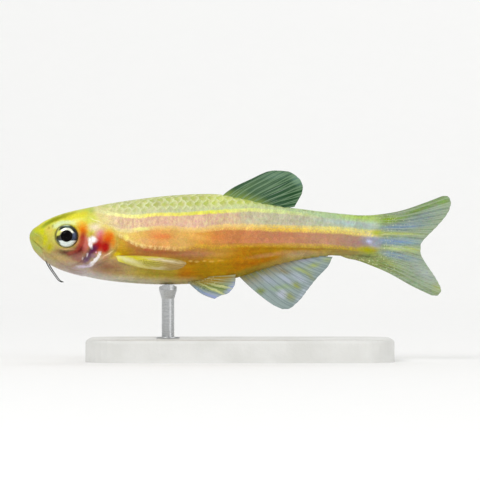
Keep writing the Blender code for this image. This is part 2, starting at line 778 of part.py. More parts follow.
def build():
    clear_scene()
    pieces = {
        "gill_cover_skin": make_left_and_right(gill_cover(), "gill_cover"),
        "head_skin": [head(gill_pockets())],
        "trunk_skin": [trunk(gill_pockets())],
        "tail_skin": [tail()],
        "eye": make_left_and_right(eye(), "eye"),
        "barbel": [
            *make_left_and_right(barbel("barbel", MAXILLARY_ROOT, MAXILLARY_PATH), "barbel_maxillary"),
            *make_left_and_right(barbel("barbel", ROSTRAL_ROOT, ROSTRAL_PATH), "barbel_rostral"),
        ],
        "dorsal_fin": [dorsal_fin()],
        "anal_fin": [anal_fin()],
        "caudal_fin": [caudal_upper(), caudal_lower()],
        "pelvic_fin": make_left_and_right(pelvic_fin(), "pelvic_fin"),
        "pectoral_fin": make_left_and_right(pectoral_fin(), "pectoral_fin"),
        "stand_steel": [stand_rod()],
    }
    fish = new_object("zebra_danio", None)
    fish.location = (-TOTAL_LENGTH / 2 * MM, 0, AXIS_HEIGHT * MM)
    model = bpy.data.collections.new("zebra_danio_model")
    bpy.context.scene.collection.children.link(model)
    base = stand_base()
    for thing in [piece for group in pieces.values() for piece in group]:
        thing.parent = fish
    pieces["stand_paint"] = [base]
    for name, group in pieces.items():
        for thing in group:
            thing.data.materials.clear()
            thing.data.materials.append(paint(name))
            if not name.endswith("_fin"):
                thing.data.shade_smooth()
                thing.data.set_sharp_from_angle(angle=math.radians(40))
            bpy.context.scene.collection.objects.unlink(thing)
            model.objects.link(thing)


build()
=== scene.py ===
import math
import random

import bmesh
import bpy
import numpy as np
from mathutils import Matrix, Vector


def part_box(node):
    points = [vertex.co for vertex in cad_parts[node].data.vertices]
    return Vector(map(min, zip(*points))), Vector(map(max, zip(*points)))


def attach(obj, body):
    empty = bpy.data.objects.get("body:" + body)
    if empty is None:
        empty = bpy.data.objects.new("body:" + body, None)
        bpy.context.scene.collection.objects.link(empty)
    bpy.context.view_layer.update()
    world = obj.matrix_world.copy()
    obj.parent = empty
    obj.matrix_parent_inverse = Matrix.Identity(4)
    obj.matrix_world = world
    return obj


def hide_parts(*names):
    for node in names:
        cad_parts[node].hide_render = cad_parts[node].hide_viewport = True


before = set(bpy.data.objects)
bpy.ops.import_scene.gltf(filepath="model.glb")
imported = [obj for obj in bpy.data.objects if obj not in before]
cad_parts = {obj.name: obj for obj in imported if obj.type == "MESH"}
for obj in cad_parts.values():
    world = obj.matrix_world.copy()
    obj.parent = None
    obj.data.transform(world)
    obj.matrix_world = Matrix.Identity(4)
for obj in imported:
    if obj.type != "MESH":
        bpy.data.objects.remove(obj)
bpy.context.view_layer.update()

# A zebra danio of the golden form, life size, on a small display stand.
# Shapes are made in millimetres in the fish's own frame: x runs back from the tip of the snout,
# z up from the body's axis, and the left side is -y. seat() puts a finished shape in its place.

fish = dict(middle=23.4, axis=13.5, span=48.0)    # span is what the lengthwise curves cover
bothSides = ((-1, "left"), (1, "right"))
print("stage: frame loaded,", len(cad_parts), "nodes")


def stepUp(low, high, value):
    share = np.clip((value - low) / (high - low), 0.0, 1.0)
    return share * share * (3 - 2 * share)


def hump(value, width):
    return np.exp(-((value / width) ** 2))


def throughPoints(knots, values, at):
    # a smooth curve with these values at these knots, read at every number in at
    knots, values, at = (np.asarray(part, float) for part in (knots, values, at))
    slopes = np.empty_like(values)
    ends = knots[2:] - knots[:-2]
    slopes[1:-1] = ((values[2:] - values[:-2]).T / ends).T
    slopes[0] = (values[1] - values[0]) / (knots[1] - knots[0])
    slopes[-1] = (values[-1] - values[-2]) / (knots[-1] - knots[-2])
    i = np.clip(np.searchsorted(knots, at, side="right") - 1, 0, len(knots) - 2)
    step = knots[i + 1] - knots[i]
    t = (at - knots[i]) / step
    if values.ndim > 1:
        t, step = t[..., None], step[..., None]
    return (
        values[i] * ((1 + 2 * t) * (1 - t) ** 2)
        + slopes[i] * step * (t * (1 - t) ** 2)
        + values[i + 1] * (t * t * (3 - 2 * t))
        - slopes[i + 1] * step * (t * t * (1 - t))
    )


def alongLine(points, share):
    # points a share of the way along a smooth line
    points = np.asarray(points, float)
    strides = np.linalg.norm(np.diff(points, axis=0), axis=1)
    knots = np.concatenate(([0.0], np.cumsum(strides)))
    return throughPoints(knots, points, np.asarray(share, float) * knots[-1])


def distanceTo(line, x, z):
    # distance of each place from a line of (x, z) points, and how far along the line it is
    best = np.full(x.shape, 1e9)
    along = np.zeros(x.shape)
    count = len(line) - 1
    for k in range(count):
        ax, az = line[k]
        bx, bz = line[k + 1]
        run, rise = bx - ax, bz - az
        t = np.clip(((x - ax) * run + (z - az) * rise) / max(run * run + rise * rise, 1e-9), 0, 1)
        gap = np.hypot(x - ax - t * run, z - az - t * rise)
        nearer = gap < best
        best = np.where(nearer, gap, best)
        along = np.where(nearer, (k + t) / count, along)
    return best, along


def insideOf(line, x, z):
    # True for the places inside a closed line
    inside = np.zeros(x.shape, bool)
    for (ax, az), (bx, bz) in zip(line, line[1:]):
        crosses = (az > z) != (bz > z)
        at = ax + (z - az) * (bx - ax) / (bz - az if bz != az else 1e-9)
        inside ^= crosses & (x < at)
    return inside


def readPlaces(bm):
    return np.array([vert.co for vert in bm.verts], float)


def writePlaces(bm, places):
    for vert, place in zip(bm.verts, places):
        vert.co = place


def keepValues(bm, name, values):
    # one number for each place, which the materials read by this name
    layer = bm.verts.layers.float.new(name)
    for vert, value in zip(bm.verts, values):
        vert[layer] = value


def faceOutward(bm):
    bmesh.ops.recalc_face_normals(bm, faces=bm.faces)
    if bm.calc_volume(signed=True) < 0:
        bmesh.ops.reverse_faces(bm, faces=bm.faces)
    bm.normal_update()


def ontoSide(bm, side):
    # shapes are made for the left side and mirrored for the right one
    if side > 0:
        bmesh.ops.scale(bm, verts=bm.verts, vec=(1, -1, 1))
        faceOutward(bm)


def ringedBall(around, rings):
    # a ball whose rings are then drawn out into a longer form, with each place's ring and turn
    bm = bmesh.new()
    bmesh.ops.create_uvsphere(bm, u_segments=around, v_segments=rings, radius=1.0)
    ball = readPlaces(bm)
    ring = np.round(np.arccos(np.clip(ball[:, 2], -1, 1)) / math.pi * rings).astype(int)
    return bm, ring, np.arctan2(ball[:, 1], ball[:, 0])


def turnedForm(profile, steps, closed=False):
    # a profile of (distance from the axis, place along it), turned all the way round
    bm = bmesh.new()
    points = [bm.verts.new((reach, 0, out)) for reach, out in profile]
    for pair in zip(points, points[1:] + points[:1] if closed else points[1:]):
        bm.edges.new(pair)
    bmesh.ops.spin(bm, geom=[*bm.verts, *bm.edges], axis=(0, 0, 1), cent=(0, 0, 0), steps=steps,
                   angle=math.tau, use_merge=True)
    bmesh.ops.remove_doubles(bm, verts=bm.verts, dist=0.0001)
    return bm


def seat(bm):
    # from the fish's own millimetres to the row's metres
    bmesh.ops.translate(bm, verts=bm.verts, vec=(-fish["middle"], 0, fish["axis"]))
    bmesh.ops.scale(bm, verts=bm.verts, vec=(0.001, 0.001, 0.001))


def newObject(bm, name, material):
    mesh = bpy.data.meshes.new(name)
    bm.to_mesh(mesh)
    bm.free()
    mesh.polygons.foreach_set("use_smooth", [True] * len(mesh.polygons))
    mesh.materials.append(material)
    made = bpy.data.objects.new(name, mesh)
    bpy.context.scene.collection.objects.link(made)
    return made


def makePiece(bm, name, material, nodes=()):
    seat(bm)
    piece = newObject(bm, name, material)
    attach(piece, "root")
    if nodes:
        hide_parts(*nodes)
    print("stage:", name, len(piece.data.polygons), "faces")


body = dict(
    snoutRadius=0.55,
    # distance from the snout, then back, belly, half width, widest level and fullness above that level
    columns=("back", "belly", "width", "level", "fullness"),
    sections=(
        (0.0, 0.95, -0.55, 0.80, 0.30, 0.80),
        (0.6, 1.28, -1.36, 1.10, 0.15, 0.75),
        (1.8, 2.08, -2.52, 1.58, 0.00, 0.70),
        (3.8, 2.87, -3.52, 2.08, -0.10, 0.70),
        (6.5, 3.50, -4.22, 2.48, -0.10, 0.80),
        (10.5, 4.22, -4.79, 2.74, 0.00, 1.00),
        (15.8, 4.86, -5.02, 2.70, 0.05, 1.10),
        (20.6, 5.02, -4.68, 2.30, 0.15, 1.15),
        (23.2, 4.62, -4.24, 1.98, 0.25, 1.15),
        (26.6, 3.88, -3.16, 1.50, 0.40, 1.10),
        (30.0, 3.40, -2.32, 1.12, 0.52, 1.00),
        (34.2, 2.88, -1.84, 0.76, 0.52, 1.00),
        (38.0, 2.50, -1.98, 0.40, 0.30, 1.00),
        (39.4, 2.14, -1.84, 0.045, 0.20, 1.00),
        (40.4, 1.90, -1.60, 0.012, 0.20, 1.00),
    ),
    rearEnd=40.4,
    scaleDepth=0.09,
)
sectionKnots = [row[0] for row in body["sections"]]
sectionValues = {name: [row[k] for row in body["sections"]] for k, name in enumerate(body["columns"], 1)}


def bodyLine(name, x):
    return throughPoints(sectionKnots, sectionValues[name], x)


def sectionAt(x):
    # the body's measures at x, and how much of them the rounding of the snout leaves
    left = np.sqrt(1 - (1 - np.clip(x / body["snoutRadius"], 0.0, 1.0)) ** 2)
    return (*(bodyLine(name, x) for name in body["columns"]), left)


def bodySurface(x, turn, inset=0.0):
    # places on the skin; turn 0 is the left side, a quarter turn is the back
    back, belly, width, level, fullness, left = sectionAt(x)
    across, up = np.cos(turn), np.sin(turn)
    above = up > 0
    reach = np.maximum(np.where(above, back - level, level - belly) * left - inset, 0.0)
    power = np.where(above, fullness, 1.0)
    wide = np.maximum(width * left - inset, 0.0)
    y = -np.sign(across) * np.abs(across) ** power * wide
    return np.stack(np.broadcast_arrays(x, y, level + up * reach), axis=-1)


def onSkin(x, z, outside=0.0):
    # a point on the left side at x and at the height z
    back, belly, width, level, fullness, left = sectionAt(x)
    above = z > level
    reach = (back - level if above else level - belly) * left
    rise = np.clip(np.abs(z - level) / reach, 0.0, 1.0)
    halfWidth = width * left * np.sqrt(1 - rise * rise) ** (fullness if above else 1.0)
    return (x, -float(halfWidth) - outside, z)


# lines of the head, as (x, z) seen from the left
head = dict(
    gillCover=(
        (8.0, 1.85), (9.1, 1.40), (9.8, 0.25), (9.8, -0.85), (9.2, -1.85), (8.2, -2.60),
        (7.1, -3.25), (6.1, -3.60), (5.7, -3.15), (6.25, -1.80), (6.6, -0.10), (7.1, 1.45),
    ),
    gillBulge=0.14,
    gillCrease=0.05,
    # the rear border of the scaleless head, x for each height
    border=((-5.0, 5.4), (-4.2, 5.8), (-3.6, 6.4), (-3.25, 7.1), (-2.6, 8.2), (-1.85, 9.2), (-0.85, 9.8),
            (0.25, 9.85), (1.4, 9.1), (1.9, 8.2), (2.5, 7.6), (3.3, 7.3), (4.4, 7.2)),
    eye=(4.23, 0.33),
    eyeRadius=1.33,
    eyeSink=0.52,
    eyeRim=0.07,
    socketDepth=0.62,
    mouthFront=0.30,
    mouthCorner=(1.55, -1.15),
    lipHeight=0.06,
    cleftDepth=(0.04, 0.08),  # at the tip, and what is added where the lips part
    nostril=(2.45, 1.35),
    nostrilSpacing=0.42,
    nostrilRadius=0.15,
    nostrilRim=0.06,
    nostrilDepth=0.14,
    # bones that show in the skin: line, height, half width
    bones=(
        (((6.7, 1.0), (6.75, -0.2), (6.5, -1.2), (5.9, -2.1), (4.9, -2.75), (3.8, -2.95)), 0.07, 0.20),
        (((5.75, 0.9), (5.95, 0.0), (5.6, -0.9), (4.9, -1.5), (3.9, -1.65), (3.0, -1.2)), 0.04, 0.16),
        (((1.7, -1.3), (2.4, -1.75), (3.3, -2.5), (4.6, -3.1)), 0.05, 0.16),
        (((9.0, -1.7), (8.0, -2.15), (7.0, -2.5), (6.1, -2.8)), 0.05, 0.10),
    ),
    throatRays=(((6.3, -3.55), (5.0, -3.45), (4.0, -3.05)), ((7.0, -3.65), (5.6, -3.78), (4.2, -3.4))),
    throatGroove=0.06,
)
gillLine = alongLine((*head["gillCover"], head["gillCover"][0]), np.linspace(0, 1, 121))
borderHeights, borderReach = zip(*head["border"])


def behindBorder(x, z):
    return x - throughPoints(borderHeights, borderReach, z)


def scaledShare(x, z):
    # 0 on the bare head, 1 where scales cover the skin
    return stepUp(-0.05, 0.75, behindBorder(x, z))


def headRelief(x, z):
    # how far the skin stands out at each place of the head, and how much painted shade its creases and pits
    # get
    out = np.zeros(x.shape)

    edge, _ = distanceTo(gillLine, x, z)
    edge = np.where(insideOf(gillLine, x, z), edge, -edge)
    ahead = stepUp(7.4, 6.3, x)
    out += head["gillBulge"] * stepUp(0.0, 0.16 + 0.7 * ahead, edge)
    behind = hump(edge + 0.09, 0.10) * (1 - ahead)
    out -= head["gillCrease"] * behind
    # painted shade in the crease behind the gill cover, and below in the socket, lips, nostrils and grooves
    creaseShade = 0.10 * behind

    away = np.hypot(x - head["eye"][0], z - head["eye"][1]) - head["eyeRadius"]
    out -= head["socketDepth"] * stepUp(0.03, -0.22, away)
    out += head["eyeRim"] * hump(away - 0.16, 0.13)
    out -= 0.03 * hump(away - 0.50, 0.10) * (z < head["eye"][1])
    creaseShade = np.maximum(creaseShade, 0.5 * stepUp(0.03, -0.05, away))

    cornerX, cornerZ = head["mouthCorner"]
    drop, below = head["mouthFront"] - cornerZ, z - head["mouthFront"]
    length = math.hypot(cornerX, drop)
    off = (below * cornerX + x * drop) / length
    along = (x * cornerX - below * drop) / (length * length)
    # the lips are pressed shut at the tip and part a little towards the corner
    parted = stepUp(0.05, 0.55, along)
    cleft = hump(off, 0.045) * stepUp(1.05, 0.9, along)
    lips = hump(off - 0.17, 0.12) + 0.9 * hump(off + 0.17, 0.12)
    shut, opened = head["cleftDepth"]
    out += head["lipHeight"] * parted * lips * stepUp(1.12, 0.8, along)
    out -= (shut + opened * parted) * cleft
    out -= 0.03 * parted * hump(off - 0.40, 0.08) * stepUp(1.3, 0.9, along)
    corner = np.hypot(x - cornerX, z - cornerZ)
    out -= 0.05 * hump(corner, 0.18)
    creaseShade = np.maximum(creaseShade, (0.25 + 0.25 * parted) * cleft)
    creaseShade = np.maximum(creaseShade, 0.3 * hump(corner, 0.16))

    for k in (-0.5, 0.5):
        hole = np.hypot(x - head["nostril"][0] - k * head["nostrilSpacing"],
                        z - head["nostril"][1] - k * head["nostrilSpacing"] * 0.5)
        out += head["nostrilRim"] * hump(hole - head["nostrilRadius"] - 0.03, 0.07)
        pit = stepUp(head["nostrilRadius"] + 0.02, head["nostrilRadius"] - 0.08, hole)
        out -= head["nostrilDepth"] * pit
        creaseShade = np.maximum(creaseShade, 0.22 * pit)

    for line, height, width in head["bones"]:
        bone = alongLine(line, np.linspace(0, 1, 25))
        gap, share = distanceTo(bone, x, z)
        ends = stepUp(0.0, 0.12, share) * stepUp(1.0, 0.85, share)
        out += height * hump(gap, width) * ends
        groove, _ = distanceTo(bone + np.array((0.22, -0.12)), x, z)
        out -= 0.8 * height * hump(groove, 0.08) * ends
        creaseShade = np.maximum(creaseShade, 0.35 * hump(groove, 0.06) * ends)
    for ray in head["throatRays"]:
        gap, share = distanceTo(alongLine(ray, np.linspace(0, 1, 17)), x, z)
        ends = stepUp(0.0, 0.15, share) * stepUp(1.0, 0.85, share)
        out -= head["throatGroove"] * hump(gap, 0.07) * ends
        creaseShade = np.maximum(creaseShade, 0.4 * hump(gap, 0.06) * ends)
    return out, creaseShade


def paint(red, green, blue):
    # a colour as seen on a screen, 0 to 255
    straight = [((part / 255 + 0.055) / 1.055) ** 2.4 if part > 10 else part / 255 / 12.92
                for part in (red, green, blue)]
    return (*straight, 1.0)


def add(tree, kind, **values):
    node = tree.nodes.new("ShaderNode" + kind)
    for key, value in values.items():
        setattr(node, key, value)
    return node


def feed(tree, socket, value):
    if isinstance(value, bpy.types.NodeSocket):
        tree.links.new(value, socket)
    else:
        socket.default_value = value


def calc(tree, operation, first, second=0.0, third=0.0):
    node = add(tree, "Math", operation=operation)
    for socket, value in zip(node.inputs, (first, second, third)):
        feed(tree, socket, value)
    return node.outputs[0]


def times(tree, first, second):
    return calc(tree, "MULTIPLY", first, second)


def blend(tree, share, first, second, mode="MIX"):
    node = add(tree, "Mix", data_type="RGBA", blend_type=mode)
    feed(tree, node.inputs[0], share)
    feed(tree, node.inputs[6], first)
    feed(tree, node.inputs[7], second)
    return node.outputs[2]


def fade(tree, value, low, high, to=(0.0, 1.0), smooth=True):
    node = add(tree, "MapRange", interpolation_type="SMOOTHSTEP" if smooth else "LINEAR")
    for socket, given in zip(node.inputs, (value, low, high, *to)):
        feed(tree, socket, given)
    return node.outputs[0]


def noise(tree, place, scale, detail=2.0, roughness=0.5, colour=False):
    node = add(tree, "TexNoise")
    feed(tree, node.inputs["Vector"], place)
    node.inputs["Scale"].default_value = scale
    node.inputs["Detail"].default_value = detail
    node.inputs["Roughness"].default_value = roughness
    return node.outputs["Color" if colour else 0]


def stretched(tree, place, scale=(1, 1, 1), location=(0, 0, 0)):
    node = add(tree, "Mapping")
    feed(tree, node.inputs["Vector"], place)
    node.inputs["Location"].default_value = location
    node.inputs["Scale"].default_value = scale
    return node.outputs[0]


def scattered(tree, place, scale, roughness, colour=False):
    # noise that is stretched along one way
    return noise(tree, stretched(tree, place, scale), 1.0, 3.0, roughness, colour)


def axes(tree, place):
    parts = add(tree, "SeparateXYZ")
    feed(tree, parts.inputs[0], place)
    return parts.outputs


def lengthOf(tree, place):
    node = add(tree, "VectorMath", operation="LENGTH")
    feed(tree, node.inputs[0], place)
    return node.outputs["Value"]


def grey(tree, value):
    node = add(tree, "CombineColor")
    for socket in node.inputs:
        feed(tree, socket, value)
    return node.outputs[0]


def fishPlace(tree):
    # the fish's own millimetres
    place = add(tree, "TexCoord").outputs["Object"]
    return stretched(tree, place, (1000, 1000, 1000), location=(fish["middle"], 0, -fish["axis"]))


def wavered(tree, place, scale, amount):
    # the place shifted a little by noise, so that no border is ruled
    shift = add(tree, "VectorMath", operation="SUBTRACT")
    feed(tree, shift.inputs[0], noise(tree, place, scale, colour=True))
    shift.inputs[1].default_value = (0.5, 0.5, 0.5)
    moved = add(tree, "VectorMath", operation="MULTIPLY_ADD")
    feed(tree, moved.inputs[0], shift.outputs[0])
    moved.inputs[1].default_value = (amount * 2, amount * 2, amount * 2)
    feed(tree, moved.inputs[2], place)
    return moved.outputs[0]


def lengthwise(tree, along, points, low=-6.0, high=6.0):
    # a number that changes smoothly from snout to tail
    node = add(tree, "FloatCurve")
    node.mapping.extend = "HORIZONTAL"
    line = node.mapping.curves[0]
    for k, (x, value) in enumerate(points):
        at = (x / fish["span"], (value - low) / (high - low))
        if k < 2:
            line.points[k].location = at
        else:
            line.points.new(*at)
    node.mapping.update()
    feed(tree, node.inputs["Value"], along)
    return fade(tree, node.outputs[0], 0.0, 1.0, (low, high), smooth=False)


def colourRamp(tree, value, stops, easing="LINEAR"):
    # a colour for each value; stops are (value, colour)
    node = add(tree, "ValToRGB")
    node.color_ramp.interpolation = easing
    ramp = node.color_ramp.elements
    for k, (position, colour) in enumerate(stops):
        stop = ramp[k] if k < 2 else ramp.new(position)
        stop.position = position
        stop.color = paint(*colour)
    feed(tree, node.inputs[0], value)
    return node.outputs[0]


def lengthwiseColour(tree, along, name):
    # a colour that changes from snout to tail, by the markings' (x, colour) stops
    return colourRamp(tree, along, [(x / fish["span"], hue) for x, hue in markings[name]], "EASE")


def spot(tree, flat, colour, at, size, turn, hue, strength, blur=0.5):
    # one soft oval mark over the colour so far; its blurred border ends this many radii out
    reach = 1 + 0.7 * blur
    node = add(tree, "TexGradient", gradient_type="SPHERICAL")
    oval = node.texture_mapping
    oval.vector_type = "TEXTURE"
    oval.translation = (at[0], 0, at[1])
    oval.rotation = (0, -math.radians(turn), 0)
    oval.scale = (size[0] * reach, 1, size[1] * reach)
    feed(tree, node.inputs["Vector"], flat)
    full = 1 - max(1 - 1.3 * blur, 0.0) / reach
    mask = fade(tree, node.outputs["Fac"], 0.0, full, (0.0, strength))
    return blend(tree, mask, colour, paint(*hue))


def band(tree, flat, colour, centre, radius, width, aim, spread, hue, strength):
    # part of a ring: it runs this many degrees to both sides of the direction aim
    aim, spread = math.radians(aim), math.radians(spread)
    centred = stretched(tree, flat, location=(-centre[0], 0, -centre[1]))
    away = lengthOf(tree, centred)
    heading = add(tree, "VectorMath", operation="NORMALIZE")
    feed(tree, heading.inputs[0], centred)
    facing = add(tree, "VectorMath", operation="DOT_PRODUCT")
    feed(tree, facing.inputs[0], heading.outputs[0])
    facing.inputs[1].default_value = (math.cos(aim), 0, math.sin(aim))
    offset = calc(tree, "ABSOLUTE", calc(tree, "SUBTRACT", away, radius))
    ends = fade(tree, facing.outputs["Value"], math.cos(spread), math.cos(spread * 0.6))
    mask = times(tree, fade(tree, offset, width * 1.2, width * 0.4, (0.0, strength)), ends)
    return blend(tree, mask, colour, paint(*hue))


def newMaterial(name, **values):
    material = bpy.data.materials.new(name)
    material.use_nodes = True
    tree = material.node_tree
    shader = tree.nodes["Principled BSDF"]
    for key, value in values.items():
        shader.inputs[key.replace("_", " ")].default_value = value
    return material, tree, shader


def addBump(tree, shader, height, distance, strength=1.0, below=None):
    node = add(tree, "Bump")
    feed(tree, node.inputs["Height"], height)
    node.inputs["Distance"].default_value = distance
    node.inputs["Strength"].default_value = strength
    if below is not None:
        feed(tree, node.inputs["Normal"], below)
    feed(tree, shader.inputs["Normal"], node.outputs[0])
    return node.outputs[0]


# the markings that skin and scales share
markings = dict(
    # each line: (x, height) along the middle of a stripe
    upperStripe=((7.6, 3.11), (8.94, 2.86), (11.6, 2.51), (13.5, 2.69), (16.94, 2.79), (19.94, 3.0),
                 (21.94, 3.13), (24.83, 3.24), (26.72, 3.13), (29.39, 2.89), (33.4, 2.33), (38.0, 1.75)),
    middleStripe=((8.28, 1.67), (9.17, 1.39), (10.83, 0.92), (12.5, 1.11), (14.06, 1.24), (15.94, 1.24),
                  (17.5, 1.08), (19.28, 1.08), (20.5, 1.29), (21.94, 1.38), (24.5, 1.33), (27.83, 1.22),
                  (31.17, 1.11), (35.06, 0.94), (37.94, 0.67), (38.94, 0.67)),
    lowerStripe=((9.8, 0.5), (10.72, 0.11), (11.57, -0.38), (12.89, -0.78), (14.9, -0.99), (17.43, -1.04),
                 (18.64, -0.73), (20.46, -0.84), (22.28, -0.73), (25.61, -0.67), (30.06, -0.67),
                 (33.39, -0.8), (35.39, -1.0), (36.94, -1.07), (38.5, -1.11)),
    bellyLine=((8.0, -2.3), (9.83, -1.95), (11.72, -2.0), (14.83, -2.0), (17.39, -2.11), (20.5, -2.11),
               (23.39, -1.89), (26.17, -1.44), (30.06, -1.39), (34.5, -1.67), (38.0, -1.7)),
    # how strong each stripe is and half its width, along the body
    upperStrength=((7.0, 0.0), (8.0, 0.5), (9.2, 0.95), (23.5, 0.95), (26.0, 0.75), (30.0, 0.40),
                   (32.5, 0.0)),
    middleStrength=((7.6, 0.0), (8.6, 0.6), (9.6, 0.9), (37.8, 1.0), (39.0, 0.8)),
    lowerStrength=((9.5, 0.0), (10.8, 0.8), (13.0, 0.95), (17.5, 0.9), (20.0, 0.7), (37.5, 0.85),
                   (39.0, 0.3)),
    middleWidth=((8.0, 0.17), (12.0, 0.21), (16.0, 0.25), (22.0, 0.32), (35.0, 0.37), (38.5, 0.38)),
    back=((7.0, (206, 208, 118)), (10.0, (200, 202, 132)), (16.0, (190, 194, 122)), (22.0, (201, 207, 112)),
          (28.0, (187, 207, 88)), (31.0, (166, 190, 98)), (35.0, (176, 202, 144)), (38.0, (188, 206, 118))),
    besideStripe=((8.0, (220, 214, 150)), (14.0, (204, 206, 162)), (24.0, (194, 203, 152)),
                  (34.0, (172, 194, 148))),
    upperBand=((8.0, (226, 212, 142)), (10.0, (223, 197, 154)), (14.0, (221, 188, 148)),
               (18.0, (217, 186, 151)), (21.5, (208, 186, 144)), (25.0, (194, 188, 154)),
               (29.0, (188, 184, 155)), (34.0, (178, 187, 160)), (38.5, (168, 186, 164))),
    orangeBand=((10.0, (230, 204, 116)), (12.0, (226, 186, 98)), (14.0, (228, 162, 88)),
                (17.0, (218, 172, 94)), (19.5, (216, 152, 66)), (22.0, (197, 126, 72)),
                (28.0, (192, 130, 92)), (33.0, (188, 140, 108)), (36.0, (168, 134, 108)),
                (38.5, (160, 160, 176))),
    brownBand=((9.0, (198, 160, 64)), (11.5, (186, 126, 58)), (15.0, (178, 116, 58)),
               (18.0, (174, 120, 64)), (21.0, (182, 136, 48)), (24.0, (176, 120, 6)),
               (27.0, (170, 124, 10)), (31.0, (170, 134, 56)), (35.0, (156, 134, 72)),
               (38.5, (142, 152, 88))),
    belly=((7.0, (184, 156, 130)), (10.0, (186, 160, 102)), (13.0, (182, 160, 72)), (16.0, (172, 146, 44)),
           (18.0, (172, 116, 6)), (21.0, (174, 130, 4)), (24.0, (176, 118, 0)), (27.0, (168, 126, 2)),
           (31.0, (176, 154, 136)), (35.0, (158, 148, 80)), (38.5, (144, 156, 92))),
    under=((6.0, (198, 190, 184)), (12.0, (198, 190, 160)), (17.0, (178, 160, 108)), (20.0, (156, 124, 28)),
           (24.0, (146, 118, 22)), (28.0, (170, 144, 72)), (34.0, (154, 146, 90)), (38.5, (142, 152, 92))),
    upperGold=((8.0, (240, 240, 176)), (11.0, (248, 246, 148)), (14.0, (241, 232, 92)),
               (20.0, (232, 232, 48)), (24.0, (228, 232, 126)), (28.0, (214, 230, 128))),
    middleGold=((8.0, (240, 226, 160)), (12.0, (236, 218, 156)), (15.0, (236, 196, 112)),
                (20.0, (240, 200, 116)), (24.0, (244, 204, 106)), (28.0, (244, 206, 74)),
                (34.0, (240, 222, 104)), (38.0, (236, 218, 112))),
    lowerGold=((11.0, (248, 224, 152)), (15.0, (246, 204, 134)), (18.5, (218, 176, 52)),
               (22.0, (205, 163, 40)), (28.0, (199, 160, 52)), (33.0, (206, 176, 56)),
               (37.0, (192, 166, 44))),
    # the bare head's ground from the throat up: (share of its height, colour)
    headGround=((0.0, (192, 180, 178)), (0.16, (178, 156, 138)), (0.34, (186, 162, 106)),
                (0.52, (200, 186, 78)), (0.70, (210, 206, 64)), (0.85, (216, 216, 66)),
                (1.0, (196, 202, 92))),
)
# soft oval marks: (x, z), (half length, half height), turn, colour, strength, and the border's blur
bodyMarks = dict(
    stripeDip=((12.5, 1.15), (1.0, 0.22), 4, (242, 240, 140), 0.8),
    sideGlow=((14.9, 0.30), (1.3, 0.36), 0, (226, 124, 68), 0.8, 0.8),
    sidePeach=((13.0, -0.20), (1.3, 0.34), -6, (232, 176, 118), 0.6, 0.9),
    sideGold=((18.5, 0.28), (1.5, 0.36), -8, (238, 182, 92), 0.75, 0.9),
    sideEmber=((20.8, 0.22), (0.9, 0.42), 0, (210, 122, 66), 0.6, 0.9),
    shoulderDot=((10.83, 0.2), (0.34, 0.42), 0, (246, 230, 120), 0.85),
    finRootYellow=((10.35, -1.40), (1.15, 0.55), -14, (194, 152, 0), 0.92),
    finRootBright=((9.9, -1.72), (0.6, 0.30), -14, (224, 196, 10), 0.85),
    shoulderShade=((8.9, -3.05), (1.7, 0.70), -4, (142, 100, 70), 0.9, 0.75),
    brownWarm=((14.2, -1.42), (2.3, 0.22), -3, (164, 98, 62), 0.65, 0.8),
    brownOlive=((11.0, -1.10), (0.9, 0.34), -24, (188, 146, 34), 0.75, 0.7),
    shoulderOlive=((10.3, -0.55), (0.62, 0.70), 20, (196, 156, 40), 0.85, 0.8),
    brownSpot=((13.2, -1.15), (0.5, 0.20), 0, (206, 104, 74), 0.6, 0.8),
    brownMauve=((18.4, -1.62), (2.6, 0.30), 0, (178, 122, 88), 0.65, 0.8),
    bellyDeep=((19.8, -3.3), (2.9, 1.0), 0, (174, 130, 4), 0.8),
    bellyOrange=((24.4, -2.2), (2.9, 0.95), 8, (172, 116, 0), 0.9, 0.8),
    bellyEmber=((25.0, -2.55), (2.6, 0.34), 14, (176, 108, 0), 0.75, 0.8),
    bellyMauve=((26.6, -1.72), (2.2, 0.24), 8, (192, 138, 84), 0.7, 0.8),
    bellyTangerine=((17.3, -3.8), (1.1, 0.55), 10, (186, 110, 2), 0.75, 0.9),
    bellyOlive=((13.8, -3.6), (2.2, 0.75), 0, (170, 148, 44), 0.75, 0.7),
    dashFirst=((17.95, -2.40), (0.26, 0.12), 0, (224, 184, 100), 0.75, 0.6),
    dashSecond=((18.65, -2.44), (0.30, 0.12), 0, (222, 180, 88), 0.75, 0.6),
    dashThird=((19.45, -2.42), (0.26, 0.11), 6, (220, 178, 84), 0.7, 0.6),
    dashFourth=((20.25, -2.44), (0.34, 0.12), 4, (218, 174, 78), 0.7, 0.6),
    dashFifth=((21.2, -2.36), (0.50, 0.11), 4, (210, 166, 60), 0.55, 0.7),
    ventOlive=((23.9, -3.62), (2.2, 0.28), 22, (142, 122, 34), 0.75, 0.9),
    flankLine=((24.2, -0.52), (4.2, 0.10), 0, (156, 112, 34), 0.45, 0.9),
    oliveLine=((29.5, -1.06), (4.6, 0.13), -1, (150, 108, 0), 0.7, 0.8),
    greenEnd=((38.75, 0.72), (0.75, 0.34), -6, (178, 182, 4), 0.92, 0.7),
    greenEndLow=((37.6, -1.15), (1.15, 0.44), -6, (168, 164, 4), 0.92, 0.7),
    mauveEnd=((36.2, -0.30), (1.3, 0.40), -8, (166, 128, 118), 0.75, 0.9),
    greyEnd=((37.7, -0.22), (0.9, 0.36), -4, (150, 148, 158), 0.75, 0.8),
    lilacDot=((37.75, -0.24), (0.34, 0.22), 0, (196, 202, 236), 0.85, 0.8),
    rearGreen=((36.8, 2.42), (2.4, 0.30), -5, (172, 198, 66), 0.7, 0.9),
    rearBlue=((35.0, 1.80), (2.2, 0.28), -7, (164, 186, 188), 0.7, 0.9),
    rearLilac=((37.6, 1.55), (1.0, 0.28), -8, (168, 176, 178), 0.6, 0.9),
    rearGlint=((38.5, 1.62), (0.7, 0.28), -8, (190, 208, 188), 0.7, 0.9),
)
